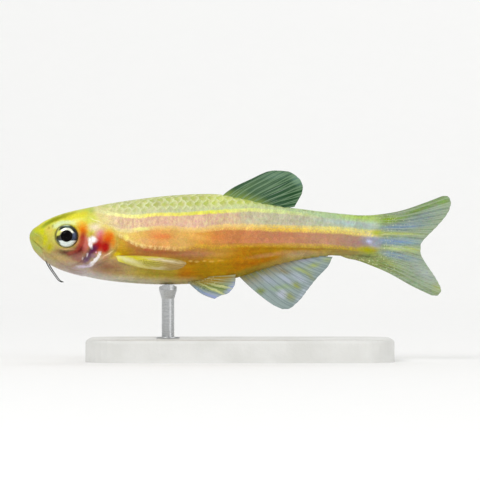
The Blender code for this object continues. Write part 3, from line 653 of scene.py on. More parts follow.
# the colours of the tail fin, which begin under the last scales
tailMarks = dict(
    upperMiddle=((43.2, 2.2), (2.8, 0.8), 22, (114, 134, 140), 0.8, 0.8),
    upperGreen=((39.8, 2.20), (1.7, 0.40), 5, (134, 166, 8), 0.9, 0.8),
    upperLeaf=((43.4, 3.35), (2.6, 0.42), 25, (108, 140, 48), 0.8, 0.8),
    upperTip=((46.0, 4.2), (0.9, 0.5), 10, (122, 158, 72), 0.8, 0.8),
    upperBlue=((41.2, 1.40), (3.0, 0.32), 4, (116, 142, 166), 0.9, 0.8),
    upperYellow=((40.7, 0.62), (2.8, 0.23), -2, (186, 198, 108), 0.85, 0.8),
    middleBlue=((40.7, -0.24), (3.3, 0.42), -1, (120, 152, 184), 0.92, 0.7),
    lowerYellow=((41.0, -1.05), (2.9, 0.28), -2, (180, 194, 122), 0.82, 0.8),
    lowerPale=((42.6, -1.2), (1.0, 0.40), -6, (168, 182, 96), 0.7, 0.8),
    lowerBlue=((41.0, -1.86), (2.8, 0.40), -12, (130, 152, 172), 0.86, 0.7),
    lowerOlive=((40.0, -2.6), (1.7, 0.34), -27, (152, 164, 62), 0.6, 0.8),
    lowerEdge=((39.3, -2.9), (3.0, 0.34), -25, (116, 132, 48), 0.75, 0.8),
    lowerGrey=((43.9, -3.75), (1.9, 0.70), -36, (164, 174, 172), 0.85, 0.8),
    lowerTip=((45.3, -5.4), (0.7, 0.6), 0, (160, 172, 96), 0.85, 0.8),
)
headMarks = dict(
    # snout and jaw
    snoutField=((0.70, 0.00), (1.35, 1.40), 0, (172, 176, 72), 0.9, 0.8),
    snoutTip=((0.40, 0.75), (0.60, 0.40), 0, (166, 182, 92), 0.8, 0.7),
    snoutBright=((0.95, 0.95), (0.50, 0.38), 0, (202, 206, 30), 0.85, 0.7),
    snoutSmudge=((0.95, -0.15), (0.30, 0.50), -10, (196, 176, 60), 0.6, 0.8),
    archTop=((1.50, 0.92), (0.32, 0.62), 8, (210, 212, 10), 0.9, 0.7),
    archMiddle=((1.84, -0.10), (0.32, 0.76), -8, (202, 202, 6), 0.9, 0.7),
    archFoot=((2.34, -0.92), (0.42, 0.62), -20, (186, 180, 0), 0.95, 0.7),
    snoutTan=((2.35, 0.95), (0.50, 0.62), 0, (222, 202, 96), 0.8, 0.8),
    cheekGreen=((2.85, 0.15), (0.44, 0.70), -10, (202, 200, 104), 0.75, 0.8),
    jawLip=((0.90, -1.00), (1.00, 0.34), -46, (168, 186, 112), 0.8, 0.9),
    jawTan=((2.70, -2.05), (0.85, 0.42), -28, (174, 160, 100), 0.8, 0.7),
    chinGrey=((2.30, -2.45), (1.10, 0.26), -38, (186, 176, 134), 0.7, 0.8),
    # brow and crown
    crestFront=((2.05, 1.72), (0.85, 0.24), 34, (144, 156, 40), 0.85),
    crest=((2.95, 2.22), (1.25, 0.27), 26, (142, 148, 4), 0.95),
    crestRear=((4.25, 2.66), (1.10, 0.24), 19, (160, 158, 16), 0.9),
    crownYellow=((5.30, 2.46), (1.30, 0.50), 11, (228, 220, 58), 0.9),
    crownFold=((5.10, 1.95), (1.10, 0.30), 14, (248, 246, 140), 0.7, 0.7),
    browPale=((3.30, 1.62), (0.75, 0.34), 22, (224, 240, 186), 0.9, 0.7),
    # a pale arc over the eye: painted highlight on the brow
    browHighlight=((4.20, 1.86), (0.85, 0.24), 2, (220, 234, 190), 0.85, 0.7),
    browCream=((4.95, 1.72), (0.50, 0.20), -24, (240, 240, 150), 0.75, 0.7),
    napeGold=((6.30, 2.85), (0.40, 0.40), 0, (226, 216, 24), 0.85, 0.7),
    napeGreen=((7.60, 3.30), (1.30, 0.45), 12, (172, 188, 88), 0.9, 0.7),
    napeApricot=((5.85, 1.75), (0.60, 0.36), -10, (244, 200, 66), 0.7, 0.7),
    shoulderYellow=((7.20, 2.35), (1.15, 0.62), -14, (212, 212, 92), 0.85, 0.7),
    shoulderCream=((8.30, 1.75), (0.75, 0.45), -20, (230, 216, 140), 0.85, 0.7),
    shoulderVein=((7.70, 2.02), (0.90, 0.08), -22, (250, 244, 190), 0.75, 0.7),
    shoulderVeinRear=((8.60, 2.55), (0.80, 0.08), -12, (246, 240, 196), 0.7, 0.7),
    # behind and under the eye
    cheekWarm=((5.80, -0.10), (0.75, 1.50), 0, (208, 134, 88), 0.8, 0.7),
    eyeHalo=((6.05, 1.25), (0.78, 0.66), 0, (236, 172, 8), 0.9, 0.8),
    eyeOrange=((6.06, 1.00), (0.50, 0.62), -4, (224, 116, 0), 0.97, 0.7),
    eyeRed=((6.04, 0.10), (0.40, 0.85), -8, (172, 44, 8), 0.95, 0.7),
    cheekRose=((5.94, -0.80), (0.70, 0.86), -22, (166, 58, 50), 0.92, 0.7),
    cheekRed=((5.50, -1.34), (1.15, 0.72), 20, (102, 10, 20), 0.97, 0.7),
    # a dark brown band under the eye: painted shade
    underEyeShade=((4.05, -1.50), (1.25, 0.48), -6, (80, 46, 40), 0.95, 0.8),
    underRing=((4.30, -1.08), (0.95, 0.09), -2, (206, 160, 116), 0.6, 0.7),
    roseField=((6.42, -0.50), (0.40, 1.00), -6, (204, 112, 104), 0.85, 0.7),
    roseLow=((5.60, -2.12), (1.40, 0.62), -6, (152, 100, 90), 0.9, 0.7),
    cheekTan=((3.60, -2.05), (1.35, 0.52), -18, (186, 162, 108), 0.8, 0.8),
    # gill cover
    gillCream=((7.40, 1.36), (0.80, 0.52), 0, (246, 228, 202), 0.9, 0.8),
    gillYellow=((8.70, 1.30), (0.75, 0.40), -26, (236, 208, 118), 0.8, 0.8),
    gillSide=((7.75, -0.60), (1.20, 1.05), -20, (194, 80, 62), 0.9, 0.7),
    gillPink=((7.95, 0.66), (0.72, 0.52), 26, (226, 146, 160), 0.9, 0.8),
    gillRose=((7.98, 0.10), (0.40, 0.70), -30, (204, 66, 72), 0.85, 0.7),
    gillFlame=((9.00, 0.46), (0.78, 0.62), 0, (238, 134, 28), 0.9, 0.8),
    gillOrange=((8.86, 0.00), (0.74, 0.72), -10, (216, 84, 0), 0.96, 0.7),
    gillAmber=((9.42, -0.48), (0.36, 0.62), 0, (212, 124, 22), 0.85, 0.8),
    gillPeach=((8.16, -0.30), (0.18, 0.42), -14, (222, 104, 70), 0.45, 0.7),
    gillRed=((8.52, -0.86), (0.60, 0.80), -8, (168, 0, 0), 0.98, 0.55),
    gillCrimson=((7.76, -0.70), (0.56, 0.66), -24, (172, 6, 0), 0.95, 0.6),
    gillGrape=((7.22, -1.05), (0.60, 0.46), 52, (94, 14, 62), 0.94, 0.65),
    gillPurple=((6.88, -1.56), (0.80, 0.48), 56, (86, 26, 70), 0.94, 0.65),
    gillViolet=((6.40, -2.20), (0.70, 0.42), 48, (98, 74, 100), 0.9, 0.7),
    gillBlush=((7.22, -1.90), (0.36, 0.34), 44, (150, 116, 128), 0.8, 0.7),
    # near-white on the silvery gill cover: partly its own silver, partly painted highlight
    gillHighlight=((7.12, -0.06), (0.54, 0.38), -6, (255, 252, 250), 0.98, 0.5),
    gillHighlightTail=((6.88, -0.50), (0.26, 0.54), 14, (254, 248, 246), 0.97, 0.5),
    gillTick=((6.46, -1.75), (0.10, 0.22), -16, (240, 226, 238), 0.8),
    gillTickLow=((5.95, -2.14), (0.09, 0.20), -10, (220, 196, 206), 0.6),
    gillTickRear=((7.50, -1.42), (0.10, 0.14), 10, (232, 160, 186), 0.75),
    gillLilac=((5.95, -3.02), (0.90, 0.24), 8, (196, 182, 208), 0.85, 0.8),
    gillLilacRear=((6.95, -2.72), (0.42, 0.20), 26, (222, 208, 218), 0.85, 0.7),
    # throat and shoulder
    shoulderTan=((8.56, -2.16), (0.66, 0.34), 32, (184, 132, 100), 0.85, 0.7),
    shoulderStreak=((8.90, -1.62), (0.75, 0.07), 33, (244, 214, 166), 0.8, 0.7),
    # dark brown behind the gill cover's lower edge: painted shade, like shoulderShade on the body
    shoulderShadeOnHead=((8.20, -3.05), (1.20, 0.60), 0, (122, 88, 64), 0.9, 0.7),
    shoulderYellowLow=((9.45, -2.20), (0.42, 0.50), 0, (180, 148, 16), 0.9, 0.7),
    throatTan=((4.30, -2.90), (1.20, 0.34), -16, (172, 148, 128), 0.8, 0.8),
    throatPale=((6.80, -3.72), (1.30, 0.24), -6, (190, 178, 182), 0.75, 0.8),
)
# bands round a centre: centre, radius, half width, aim and half spread in degrees, colour, strength
headBands = dict(
    cheekArc=((4.15, 0.26), 1.86, 0.26, -36, 60, (168, 62, 44), 0.40),
    gillEdge=((5.90, -0.90), 2.12, 0.12, -66, 46, (216, 204, 216), 0.55),
    # the near-white crescent is partly the gill cover's own silver, partly painted highlight
    gillHighlightCrescent=((5.86, -0.86), 2.14, 0.21, -37, 28, (244, 238, 236), 0.92),
)

# each colour of the sides begins over a line, between these two heights over it
zones = (
    ("brownBand", "bellyLine", -0.45, 0.35),
    ("orangeBand", "lowerStripe", -0.16, 0.16),
    ("upperBand", "middleStripe", -0.16, 0.16),
    ("besideStripe", "upperStripe", -0.12, 0.12),
    ("back", "upperStripe", 0.25, 1.15),
)
# line, colour and strength of each golden stripe, its half width, and how grainy it is
stripes = (
    ("upperStripe", "upperGold", "upperStrength", 0.20, 0.30),
    ("middleStripe", "middleGold", "middleStrength", "middleWidth", 0.50),
    ("lowerStripe", "lowerGold", "lowerStrength", 0.23, 0.55),
)
pigment = dict(
    flecks=(4.4, 1.0, 1.6),       # how closely set along, across and up
    streaks=(0.35, 1.0, 2.8),
    finStreaks=(0.5, 1.0, 8.0),
    rosy=(228, 158, 158),
    rosyShare=0.40,
    pearl=(2.6, 1.0, 3.2),
    pearlShare=0.45,
    tailGround=((138, 154, 124), (146, 160, 100)),
)


def flankColours(tree, z, along, over):
    # the ground of the sides, from the belly's underside up to the back
    def zone(colour, height, low, high, name):
        return blend(tree, fade(tree, height, low, high), colour, lengthwiseColour(tree, along, name))

    colour = lengthwiseColour(tree, along, "under")
    bellyRow = lengthwise(tree, along, [(row[0], row[2]) for row in body["sections"][2:]])
    colour = zone(colour, calc(tree, "SUBTRACT", z, bellyRow), 0.15, 1.1, "belly")
    for name, line, low, high in zones:
        colour = zone(colour, over[line], low, high, name)
    return colour


def goldenStripes(tree, steady, x, along, over, colour):
    speckle = fade(tree, noise(tree, steady, 7.0, 3.0, 0.7), 0.42, 0.62)
    # towards the head the lower stripe is a row of small teeth
    uneven = calc(tree, "MULTIPLY_ADD", noise(tree, steady, 0.9, 1.0), 9.0, times(tree, x, 9.6))
    teeth = fade(tree, calc(tree, "SINE", uneven), -0.8, 0.4, (0.35, 1.0))
    teeth = calc(tree, "MAXIMUM", teeth, fade(tree, x, 17.6, 19.0))
    gold = 0.0
    for line, hue, strength, width, grain in stripes:
        if isinstance(width, str):
            width = lengthwise(tree, along, markings[width], 0.0, 1.0)
        offset = calc(tree, "DIVIDE", calc(tree, "ABSOLUTE", over[line]), width)
        mask = fade(tree, offset, 1.45, 0.55)
        mask = times(tree, mask, lengthwise(tree, along, markings[strength], 0.0, 1.0))
        mask = times(tree, mask, calc(tree, "MULTIPLY_ADD", speckle, grain, 1.0 - grain))
        if line == "lowerStripe":
            mask = times(tree, mask, teeth)
        colour = blend(tree, mask, colour, lengthwiseColour(tree, along, hue))
        gold = calc(tree, "MAXIMUM", mask, gold)
    return colour, gold


def tailColours(tree, flat, x, colour):
    near, far = (paint(*hue) for hue in pigment["tailGround"])
    tailHue = blend(tree, fade(tree, x, 41.0, 38.0), near, far)
    for mark in tailMarks.values():
        tailHue = spot(tree, flat, tailHue, *mark)
    return blend(tree, fade(tree, x, 38.0, 39.8), colour, tailHue)


def headColours(tree, steady, x, z, colour):
    low, high = -6.0, 6.0
    stretch = fish["span"] / (high - low)
    bare = lengthwise(tree, fade(tree, z, low, high, (0.0, 1.0), smooth=False),
                      [((height - low) * stretch, reach) for height, reach in head["border"]], 0.0, 12.0)
    onHead = fade(tree, calc(tree, "SUBTRACT", x, bare), 0.35, -0.55)
    headHue = colourRamp(tree, fade(tree, z, -4.2, 3.6, smooth=False), markings["headGround"])
    ragged = wavered(tree, wavered(tree, steady, 1.3, 0.15), 4.0, 0.11)
    ragged = stretched(tree, ragged, (1, 0, 1))
    for mark in headMarks.values():
        headHue = spot(tree, ragged, headHue, *mark)
    for arc in headBands.values():
        headHue = band(tree, ragged, headHue, *arc)
    return blend(tree, onHead, colour, headHue)


def pigmented(tree, steady, x, over, colour):
    # fine grains all over, short upright flecks high on the sides and long streaks low on them
    upper, middle, lower = over["upperStripe"], over["middleStripe"], over["lowerStripe"]
    grains = fade(tree, noise(tree, steady, 7.0, 4.0, 0.75), 0.32, 0.68, (0.88, 1.10))
    upright = scattered(tree, steady, pigment["flecks"], 0.65)
    flecks = fade(tree, upright, 0.3, 0.7, (-0.11, 0.11))
    flecks = times(tree, flecks, fade(tree, middle, 0.05, 0.35))
    flecks = times(tree, flecks, fade(tree, x, 39.0, 36.5))
    # between the two upper stripes every other fleck is rosy
    rosy = times(tree, fade(tree, middle, 0.10, 0.40), fade(tree, upper, -0.05, -0.35))
    rosy = times(tree, rosy, fade(tree, upright, 0.58, 0.40, (0.0, pigment["rosyShare"])))
    rosy = times(tree, rosy, times(tree, fade(tree, x, 8.5, 11.0), fade(tree, x, 26.0, 21.0)))
    colour = blend(tree, rosy, colour, paint(*pigment["rosy"]))
    level = scattered(tree, steady, pigment["streaks"], 0.6)
    streaks = fade(tree, level, 0.3, 0.7, (-0.12, 0.10))
    streaks = times(tree, streaks, fade(tree, lower, -0.1, -0.5))
    # where the tail fin begins the streaks become those of its rays
    fan = scattered(tree, steady, pigment["finStreaks"], 0.6)
    fan = times(tree, fade(tree, fan, 0.35, 0.65, (-0.16, 0.14)), fade(tree, x, 37.4, 39.4))
    streaks = calc(tree, "ADD", streaks, fan)
    grown = fade(tree, x, 7.5, 10.0)
    grains = calc(tree, "MULTIPLY_ADD", calc(tree, "ADD", flecks, streaks), grown, grains)
    colour = blend(tree, 1.0, colour, grey(tree, grains), "MULTIPLY")
    # a faint play of pink, green and blue, as of pearl
    pearl = scattered(tree, steady, pigment["pearl"], 0.7, colour=True)
    return blend(tree, pigment["pearlShare"], colour, pearl, "SOFT_LIGHT")


def shareMarkings():
    tree = bpy.data.node_groups.new("danioMarkings", "ShaderNodeTree")
    for name, kind in (("Colour", "Color"), ("Ground", "Color"), ("Gold", "Float"), ("Back", "Float")):
        tree.interface.new_socket(name, in_out="OUTPUT", socket_type="NodeSocket" + kind)
    end = tree.nodes.new("NodeGroupOutput")
    steady = fishPlace(tree)
    place = wavered(tree, wavered(tree, steady, 1.1, 0.10), 5.0, 0.035)
    x, _, z = axes(tree, place)
    along = times(tree, x, 1 / fish["span"])
    flat = stretched(tree, place, (1, 0, 1))
    # heights over the lines of the markings
    over = {line: calc(tree, "SUBTRACT", z, lengthwise(tree, along, markings[line]))
            for line in ("upperStripe", "middleStripe", "lowerStripe", "bellyLine")}
    ground = flankColours(tree, z, along, over)
    colour, gold = goldenStripes(tree, steady, x, along, over, ground)
    for mark in bodyMarks.values():
        colour = spot(tree, flat, colour, *mark)
    colour = tailColours(tree, flat, x, colour)
    colour = headColours(tree, steady, x, z, colour)
    colour = pigmented(tree, steady, x, over, colour)
    back = fade(tree, over["upperStripe"], 0.15, 1.0)
    for name, value in (("Colour", colour), ("Ground", ground), ("Gold", gold), ("Back", back)):
        feed(tree, end.inputs[name], value)
    return tree


danioMarkings = shareMarkings()


def markingsIn(tree):
    node = add(tree, "Group")
    node.node_tree = danioMarkings
    return [node.outputs[name] for name in ("Colour", "Ground", "Gold", "Back")]


# the last colour is the painted shade laid into the head's creases
skin = dict(around=176, headStep=0.075, bodyStep=0.28, detailTo=11.0, creaseShadeHue=(150, 108, 84))


def skinMaterial():
    material, tree, shader = newMaterial(
        "danioSkin", Roughness=0.36, IOR=1.36, Specular_IOR_Level=0.12, Coat_Weight=0.08,
        Coat_Roughness=0.12)
    colour = markingsIn(tree)[0]
    creaseShade = add(tree, "Attribute", attribute_name="creaseShade").outputs["Fac"]
    # painted shade: the colour is darkened in the creases, pits and grooves
    colour = blend(tree, times(tree, creaseShade, 0.7), colour, paint(*skin["creaseShadeHue"]), "MULTIPLY")
    feed(tree, shader.inputs["Base Color"], colour)
    place = fishPlace(tree)
    rough = fade(tree, noise(tree, place, 3.0, 3.0), 0.3, 0.7, (0.28, 0.46))
    feed(tree, shader.inputs["Roughness"], rough)
    pores = noise(tree, place, 14.0, 4.0, 0.6)
    soft = noise(tree, place, 2.2, 2.0)
    below = addBump(tree, shader, soft, 0.00012, 0.5)
    addBump(tree, shader, pores, 0.00003, 0.6, below)
    return material


def skinStations():
    radius = body["snoutRadius"]
    front = radius * (1 - np.cos(np.linspace(0, math.pi / 2, 12)))
    middle = np.arange(radius, skin["detailTo"], skin["headStep"])[1:]
    rear = np.arange(skin["detailTo"], body["rearEnd"], skin["bodyStep"])
    return np.concatenate((front, middle, rear, [body["rearEnd"] - 0.05, body["rearEnd"]]))


def buildSkin():
    stations = skinStations()
    rings = len(stations) - 1
    bm, ring, turn = ringedBall(skin["around"], rings)
    x = stations[ring]
    places = bodySurface(x, turn)
    places[ring == rings] = (body["rearEnd"], 0.0, 0.2)
    writePlaces(bm, places)
    faceOutward(bm)
    outward = np.array([vert.normal for vert in bm.verts], float)
    relief, creaseShade = np.zeros(len(places)), np.zeros(len(places))
    near = x < skin["detailTo"]
    relief[near], creaseShade[near] = headRelief(places[near, 0], places[near, 2])
    relief -= body["scaleDepth"] * scaledShare(places[:, 0], places[:, 2]) * stepUp(38.4, 36.6, x)
    writePlaces(bm, places + outward * relief[:, None])
    # the amount of painted shade at each place, for the skin material
    keepValues(bm, "creaseShade", creaseShade)
    makePiece(bm, "skin", skinMaterial(),
              ("head", "trunk", "tail", "gill_cover_left", "gill_cover_right"))


buildSkin()


# the scales are laid out flat in rows, then draped over the body
scales = dict(
    pitch=0.92,                # from one scale to the next along a row
    rowSpacing=0.80,
    length=1.62,
    width=1.58,
    thickness=0.024,
    rise=0.034,                # how much higher the free edge lies than the root
    lift=0.062,                # how high the root lies over the skin
    middleLift=0.02,           # how much higher the rows on the back's and belly's middle lie
    sides=14,
    rings=4,
    seed=7,
    halfRound=8.0,             # how far round the body the rows are laid out
    firstRoot=5.6,
    lastRoot=37.9,
    middleRoots=(7.2, 37.3),   # from and to where the rows on the middle run
    besideMiddle=0.30,
    dorsalRun=(21.2, 29.0),    # where a fin takes the middle's place
    analRun=(22.4, 33.4),
    middleHue=(168, 188, 66),  # on the back
    # the pale rims' colour, partly painted highlight along the free edges
    rimHighlightHue=(236, 242, 204),
    patchRadius=0.00068,       # one scale's patch of the bake map, its upper face beside its lower one
    patchPlaces=(0.0007, 0.0022),
    patchHeight=0.0015,
    mapStart=0.01,
    mapReach=0.97,
    mapLength=40.0,
    mapRound=24.0,
)


def scaleMaterial():
    material, tree, shader = newMaterial(
        "danioScales", Roughness=0.34, IOR=1.36, Specular_IOR_Level=0.12, Coat_Weight=0.06,
        Coat_Roughness=0.15)
    colour, ground, gold, back = markingsIn(tree)
    tone = add(tree, "Attribute", attribute_name="tone").outputs["Fac"]
    disc = add(tree, "UVMap", uv_map="scale").outputs[0]
    centred = stretched(tree, disc, location=(-0.5, -0.5, 0.0))
    reach = times(tree, lengthOf(tree, centred), 2.0)
    place = fishPlace(tree)
    ragged = noise(tree, place, 4.2, 2.0)
    frayed = calc(tree, "MULTIPLY_ADD", ragged, 0.7, calc(tree, "SUBTRACT", reach, 0.35))
    rearward = fade(tree, axes(tree, centred)["X"], -0.05, 0.25)
    patchy = fade(tree, noise(tree, place, 1.6, 2.0), 0.35, 0.6, (0.35, 1.0))
    rim = times(tree, fade(tree, frayed, 0.40, 1.02), times(tree, rearward, patchy))
    # the gold of the stripes lies in beads, one on each scale
    colour = blend(tree, times(tree, times(tree, rim, gold), 0.35), colour, ground)
    # the back's scales have pale rims, partly their own edge colour and partly painted highlight, and
    # greener middles; those of the sides only a hint of them
    amount = calc(tree, "MULTIPLY_ADD", back, 0.42, 0.10)
    amount = times(tree, amount, fade(tree, axes(tree, place)["X"], 27.0, 36.0, (1.0, 0.45)))
    middle = times(tree, fade(tree, frayed, 0.70, 0.2), times(tree, back, 0.42))
    colour = blend(tree, middle, colour, paint(*scales["middleHue"]))
    # the rims are brightened copies of the colour: partly painted highlight along the free edges
    pale = blend(tree, 1.0, colour, (1.35, 1.35, 1.35, 1.0), "MULTIPLY")
    pale = blend(tree, back, pale, paint(*scales["rimHighlightHue"]))
    colour = blend(tree, times(tree, rim, amount), colour, pale)
    bright = fade(tree, tone, 0.0, 1.0, (0.92, 1.08), smooth=False)
    colour = blend(tree, 1.0, colour, grey(tree, bright), "MULTIPLY")
    feed(tree, shader.inputs["Base Color"], colour)
    feed(tree, shader.inputs["Roughness"], fade(tree, gold, 0.0, 1.0, (0.38, 0.27)))
    feed(tree, shader.inputs["Metallic"], times(tree, gold, 0.12))
    ridges = calc(tree, "SINE", times(tree, reach, 70.0))
    below = addBump(tree, shader, ridges, 0.000006, 0.45)
    addBump(tree, shader, noise(tree, place, 12.0, 3.0), 0.00002, 0.5, below)
    return material


def masterScale():
    # one scale, flat: x from its root to its free edge, y across; a lens with a thin rim
    bm = bmesh.new()
    bmesh.ops.create_uvsphere(bm, u_segments=scales["sides"], v_segments=scales["rings"], radius=1.0)
    disc = bm.loops.layers.uv.new("scale")
    bake = bm.loops.layers.uv.new("OFBake")
    flatRim = 0.01
    for edge in bm.edges:
        edge.smooth = max(abs(vert.co.z) for vert in edge.verts) > flatRim
    reachOf = {}
    for vert in bm.verts:
        reach = math.hypot(vert.co.x, vert.co.y)
        turn = math.atan2(vert.co.y, vert.co.x)
        reach = min(reach * 1.12, 1.0) if reach > 0.9 else reach * 1.08
        reachOf[vert] = (reach, turn)
        # blunt at the root, rounded at the free edge
        shape = 1.0 - 0.10 * math.cos(turn) * abs(math.cos(turn)) ** 3
        lift = math.copysign(0.5, vert.co.z) if abs(vert.co.z) > flatRim else 0.0
        vert.co.x = 0.5 * scales["length"] * reach * math.cos(turn)
        vert.co.y = 0.5 * scales["width"] * reach * math.sin(turn) * shape
        vert.co.z = scales["thickness"] * lift
    for face in bm.faces:
        # the two faces of a scale lie side by side in its patch
        start = scales["patchPlaces"][sum(loop.vert.co.z for loop in face.loops) < 0]
        for loop in face.loops:
            reach, turn = reachOf[loop.vert]
            loop[disc].uv = (0.5 + 0.5 * reach * math.cos(turn), 0.5 + 0.5 * reach * math.sin(turn))
            half = scales["patchRadius"] * reach
            loop[bake].uv = (start + half * math.cos(turn),
                             scales["patchHeight"] + 2 * half * math.sin(turn))
    mesh = bpy.data.meshes.new("masterScale")
    bm.to_mesh(mesh)
    bm.free()
    return mesh


def bodyTable(step=0.2, turns=240):
    # the body's sections with arc lengths from the left side's widest level over the back
    xs = np.arange(5.0, body["rearEnd"] + step, step)
    angles = np.linspace(0, math.tau, turns + 1)
    inset = body["scaleDepth"]
    grid = bodySurface(np.minimum(xs, body["rearEnd"])[:, None], angles[None, :], inset)
    grid[:, -1] = grid[:, 0]
    arcs = np.concatenate((np.zeros((len(xs), 1)), np.cumsum(
        np.linalg.norm(np.diff(grid, axis=1), axis=2), axis=1)), axis=1)
    ahead = np.gradient(grid, xs, axis=0)
    around = np.gradient(grid, axis=1)
    around[:, 0] = around[:, -1] = grid[:, 1] - grid[:, -2]
    outward = np.cross(ahead, around)
    outward /= np.maximum(np.linalg.norm(outward, axis=2, keepdims=True), 1e-9)
    quarter = turns // 4
    return dict(xs=xs, step=step, grid=grid, arcs=arcs, outward=outward,
                top=arcs[:, quarter], bottom=arcs[:, 3 * quarter] - arcs[:, -1], whole=arcs[:, -1])


table = bodyTable()


def drape(x, arc, height):
    # flat places, x and arc along and round the body, onto the body's surface
    xs, last = table["xs"], len(table["xs"]) - 2
    row = np.clip(((x - xs[0]) / table["step"]).astype(int), 0, last)
    share = (x - xs[row]) / table["step"]
    placed = np.zeros((len(x), 3))
    for k in np.unique(row):
        chosen = np.nonzero(row == k)[0]
        for station, weight in ((k, 1 - share[chosen]), (k + 1, share[chosen])):
            at = np.mod(arc[chosen], table["whole"][station])
            known = table["arcs"][station]
            ground, outward = (
                np.stack([np.interp(at, known, table[part][station, :, axis]) for axis in range(3)], axis=1)
                for part in ("grid", "outward"))
            placed[chosen] += (ground + outward * height[chosen, None]) * weight[:, None]
    return placed


def arcAt(edge, x):
    return float(np.interp(x, table["xs"], table[edge]))


def onFin(x, z):
    start, end = scales["dorsalRun"] if z > 0 else scales["analRun"]
    return start < x < end


def scaleRoots(side):
    # (x, arc, extra lift) of each scale; the left side also has the rows on the middle of back and belly
    rows = int(scales["halfRound"] / scales["rowSpacing"])
    last, beside = scales["lastRoot"], scales["besideMiddle"]
    roots = []
    for row in range(-rows, rows + 1):
        arc = row * scales["rowSpacing"]
        x = scales["firstRoot"] + (0.5 * scales["pitch"] if row % 2 else 0.0)
        while x < last:
            onThisSide = arcAt("bottom", x) + beside < arc < arcAt("top", x) - beside
            if onThisSide and x < last - 0.12 * abs(arc - 0.2) ** 2:
                roots.append((x, arc, 0.0))
            x += scales["pitch"]
    if side < 0:
        x, end = scales["middleRoots"]
        while x < end:
            roots += [(x, arcAt(edge, x), scales["middleLift"]) for edge in ("top", "bottom")]
            x += scales["pitch"]
    kept = []
    for x, arc, over in roots:
        z = float(drape(np.array([x]), np.array([arc]), np.array([0.0]))[0, 2])
        # the foremost scales come out from under the bare head's border
        if float(behindBorder(x + 0.35, z)) >= 0.1 and not (over and onFin(x, z)):
            kept.append((x, arc, over))
    return kept


def buildScales(side, name, material):
    master = masterScale()
    draw = random.Random(scales["seed"] + side)
    bm = bmesh.new()
    tone = bm.verts.layers.float.new("tone")
    slope = scales["rise"] / scales["length"]
    roots = scaleRoots(side)
    for x, arc, over in roots:
        before, facesBefore = len(bm.verts), len(bm.faces)
        bm.from_mesh(master)
        bm.verts.ensure_lookup_table()
        bm.faces.ensure_lookup_table()
        verts = bm.verts[before:]
        size = draw.uniform(0.96, 1.04) * (1.0 - 0.05 * max(x - 34.0, 0.0))
        twist = Matrix.Rotation(draw.uniform(-0.05, 0.05), 3, "Z")
        bmesh.ops.scale(bm, verts=verts, vec=(size, size, 1))
        bmesh.ops.rotate(bm, verts=verts, matrix=twist)
        shade = draw.random()
        for vert in verts:
            vert.co.z += slope * vert.co.x - 0.012 * vert.co.y ** 2
            vert[tone] = shade
        bmesh.ops.translate(bm, verts=verts, vec=(x + 0.32 * scales["length"], arc, scales["lift"] + over))
        bake = bm.loops.layers.uv["OFBake"]
        corner = Vector((scales["mapStart"] + scales["mapReach"] * x / scales["mapLength"],
                         0.5 - side * arc / scales["mapRound"]))
        for face in bm.faces[facesBefore:]:
            for loop in face.loops:
                loop[bake].uv = loop[bake].uv + corner
    flat = readPlaces(bm)
    placed = drape(flat[:, 0], flat[:, 1], flat[:, 2])
    # the foremost scales follow the head's relief and tuck in behind the gill cover
    near = placed[:, 0] < skin["detailTo"]
    flat[near, 2] += headRelief(placed[near, 0], placed[near, 2])[0]
    flat[near, 2] -= 0.06 * stepUp(0.55, 0.0, behindBorder(placed[near, 0], placed[near, 2]))
    placed[near] = drape(flat[near, 0], flat[near, 1], flat[near, 2])
    if side > 0:
        placed[:, 1] *= -1
        bmesh.ops.reverse_faces(bm, faces=bm.faces)
    writePlaces(bm, placed)
    print("stage:", len(roots), "scales on", name)
    makePiece(bm, name, material)


coatMaterial = scaleMaterial()
for side, word in bothSides:
    buildScales(side, f"scales_{word}", coatMaterial)


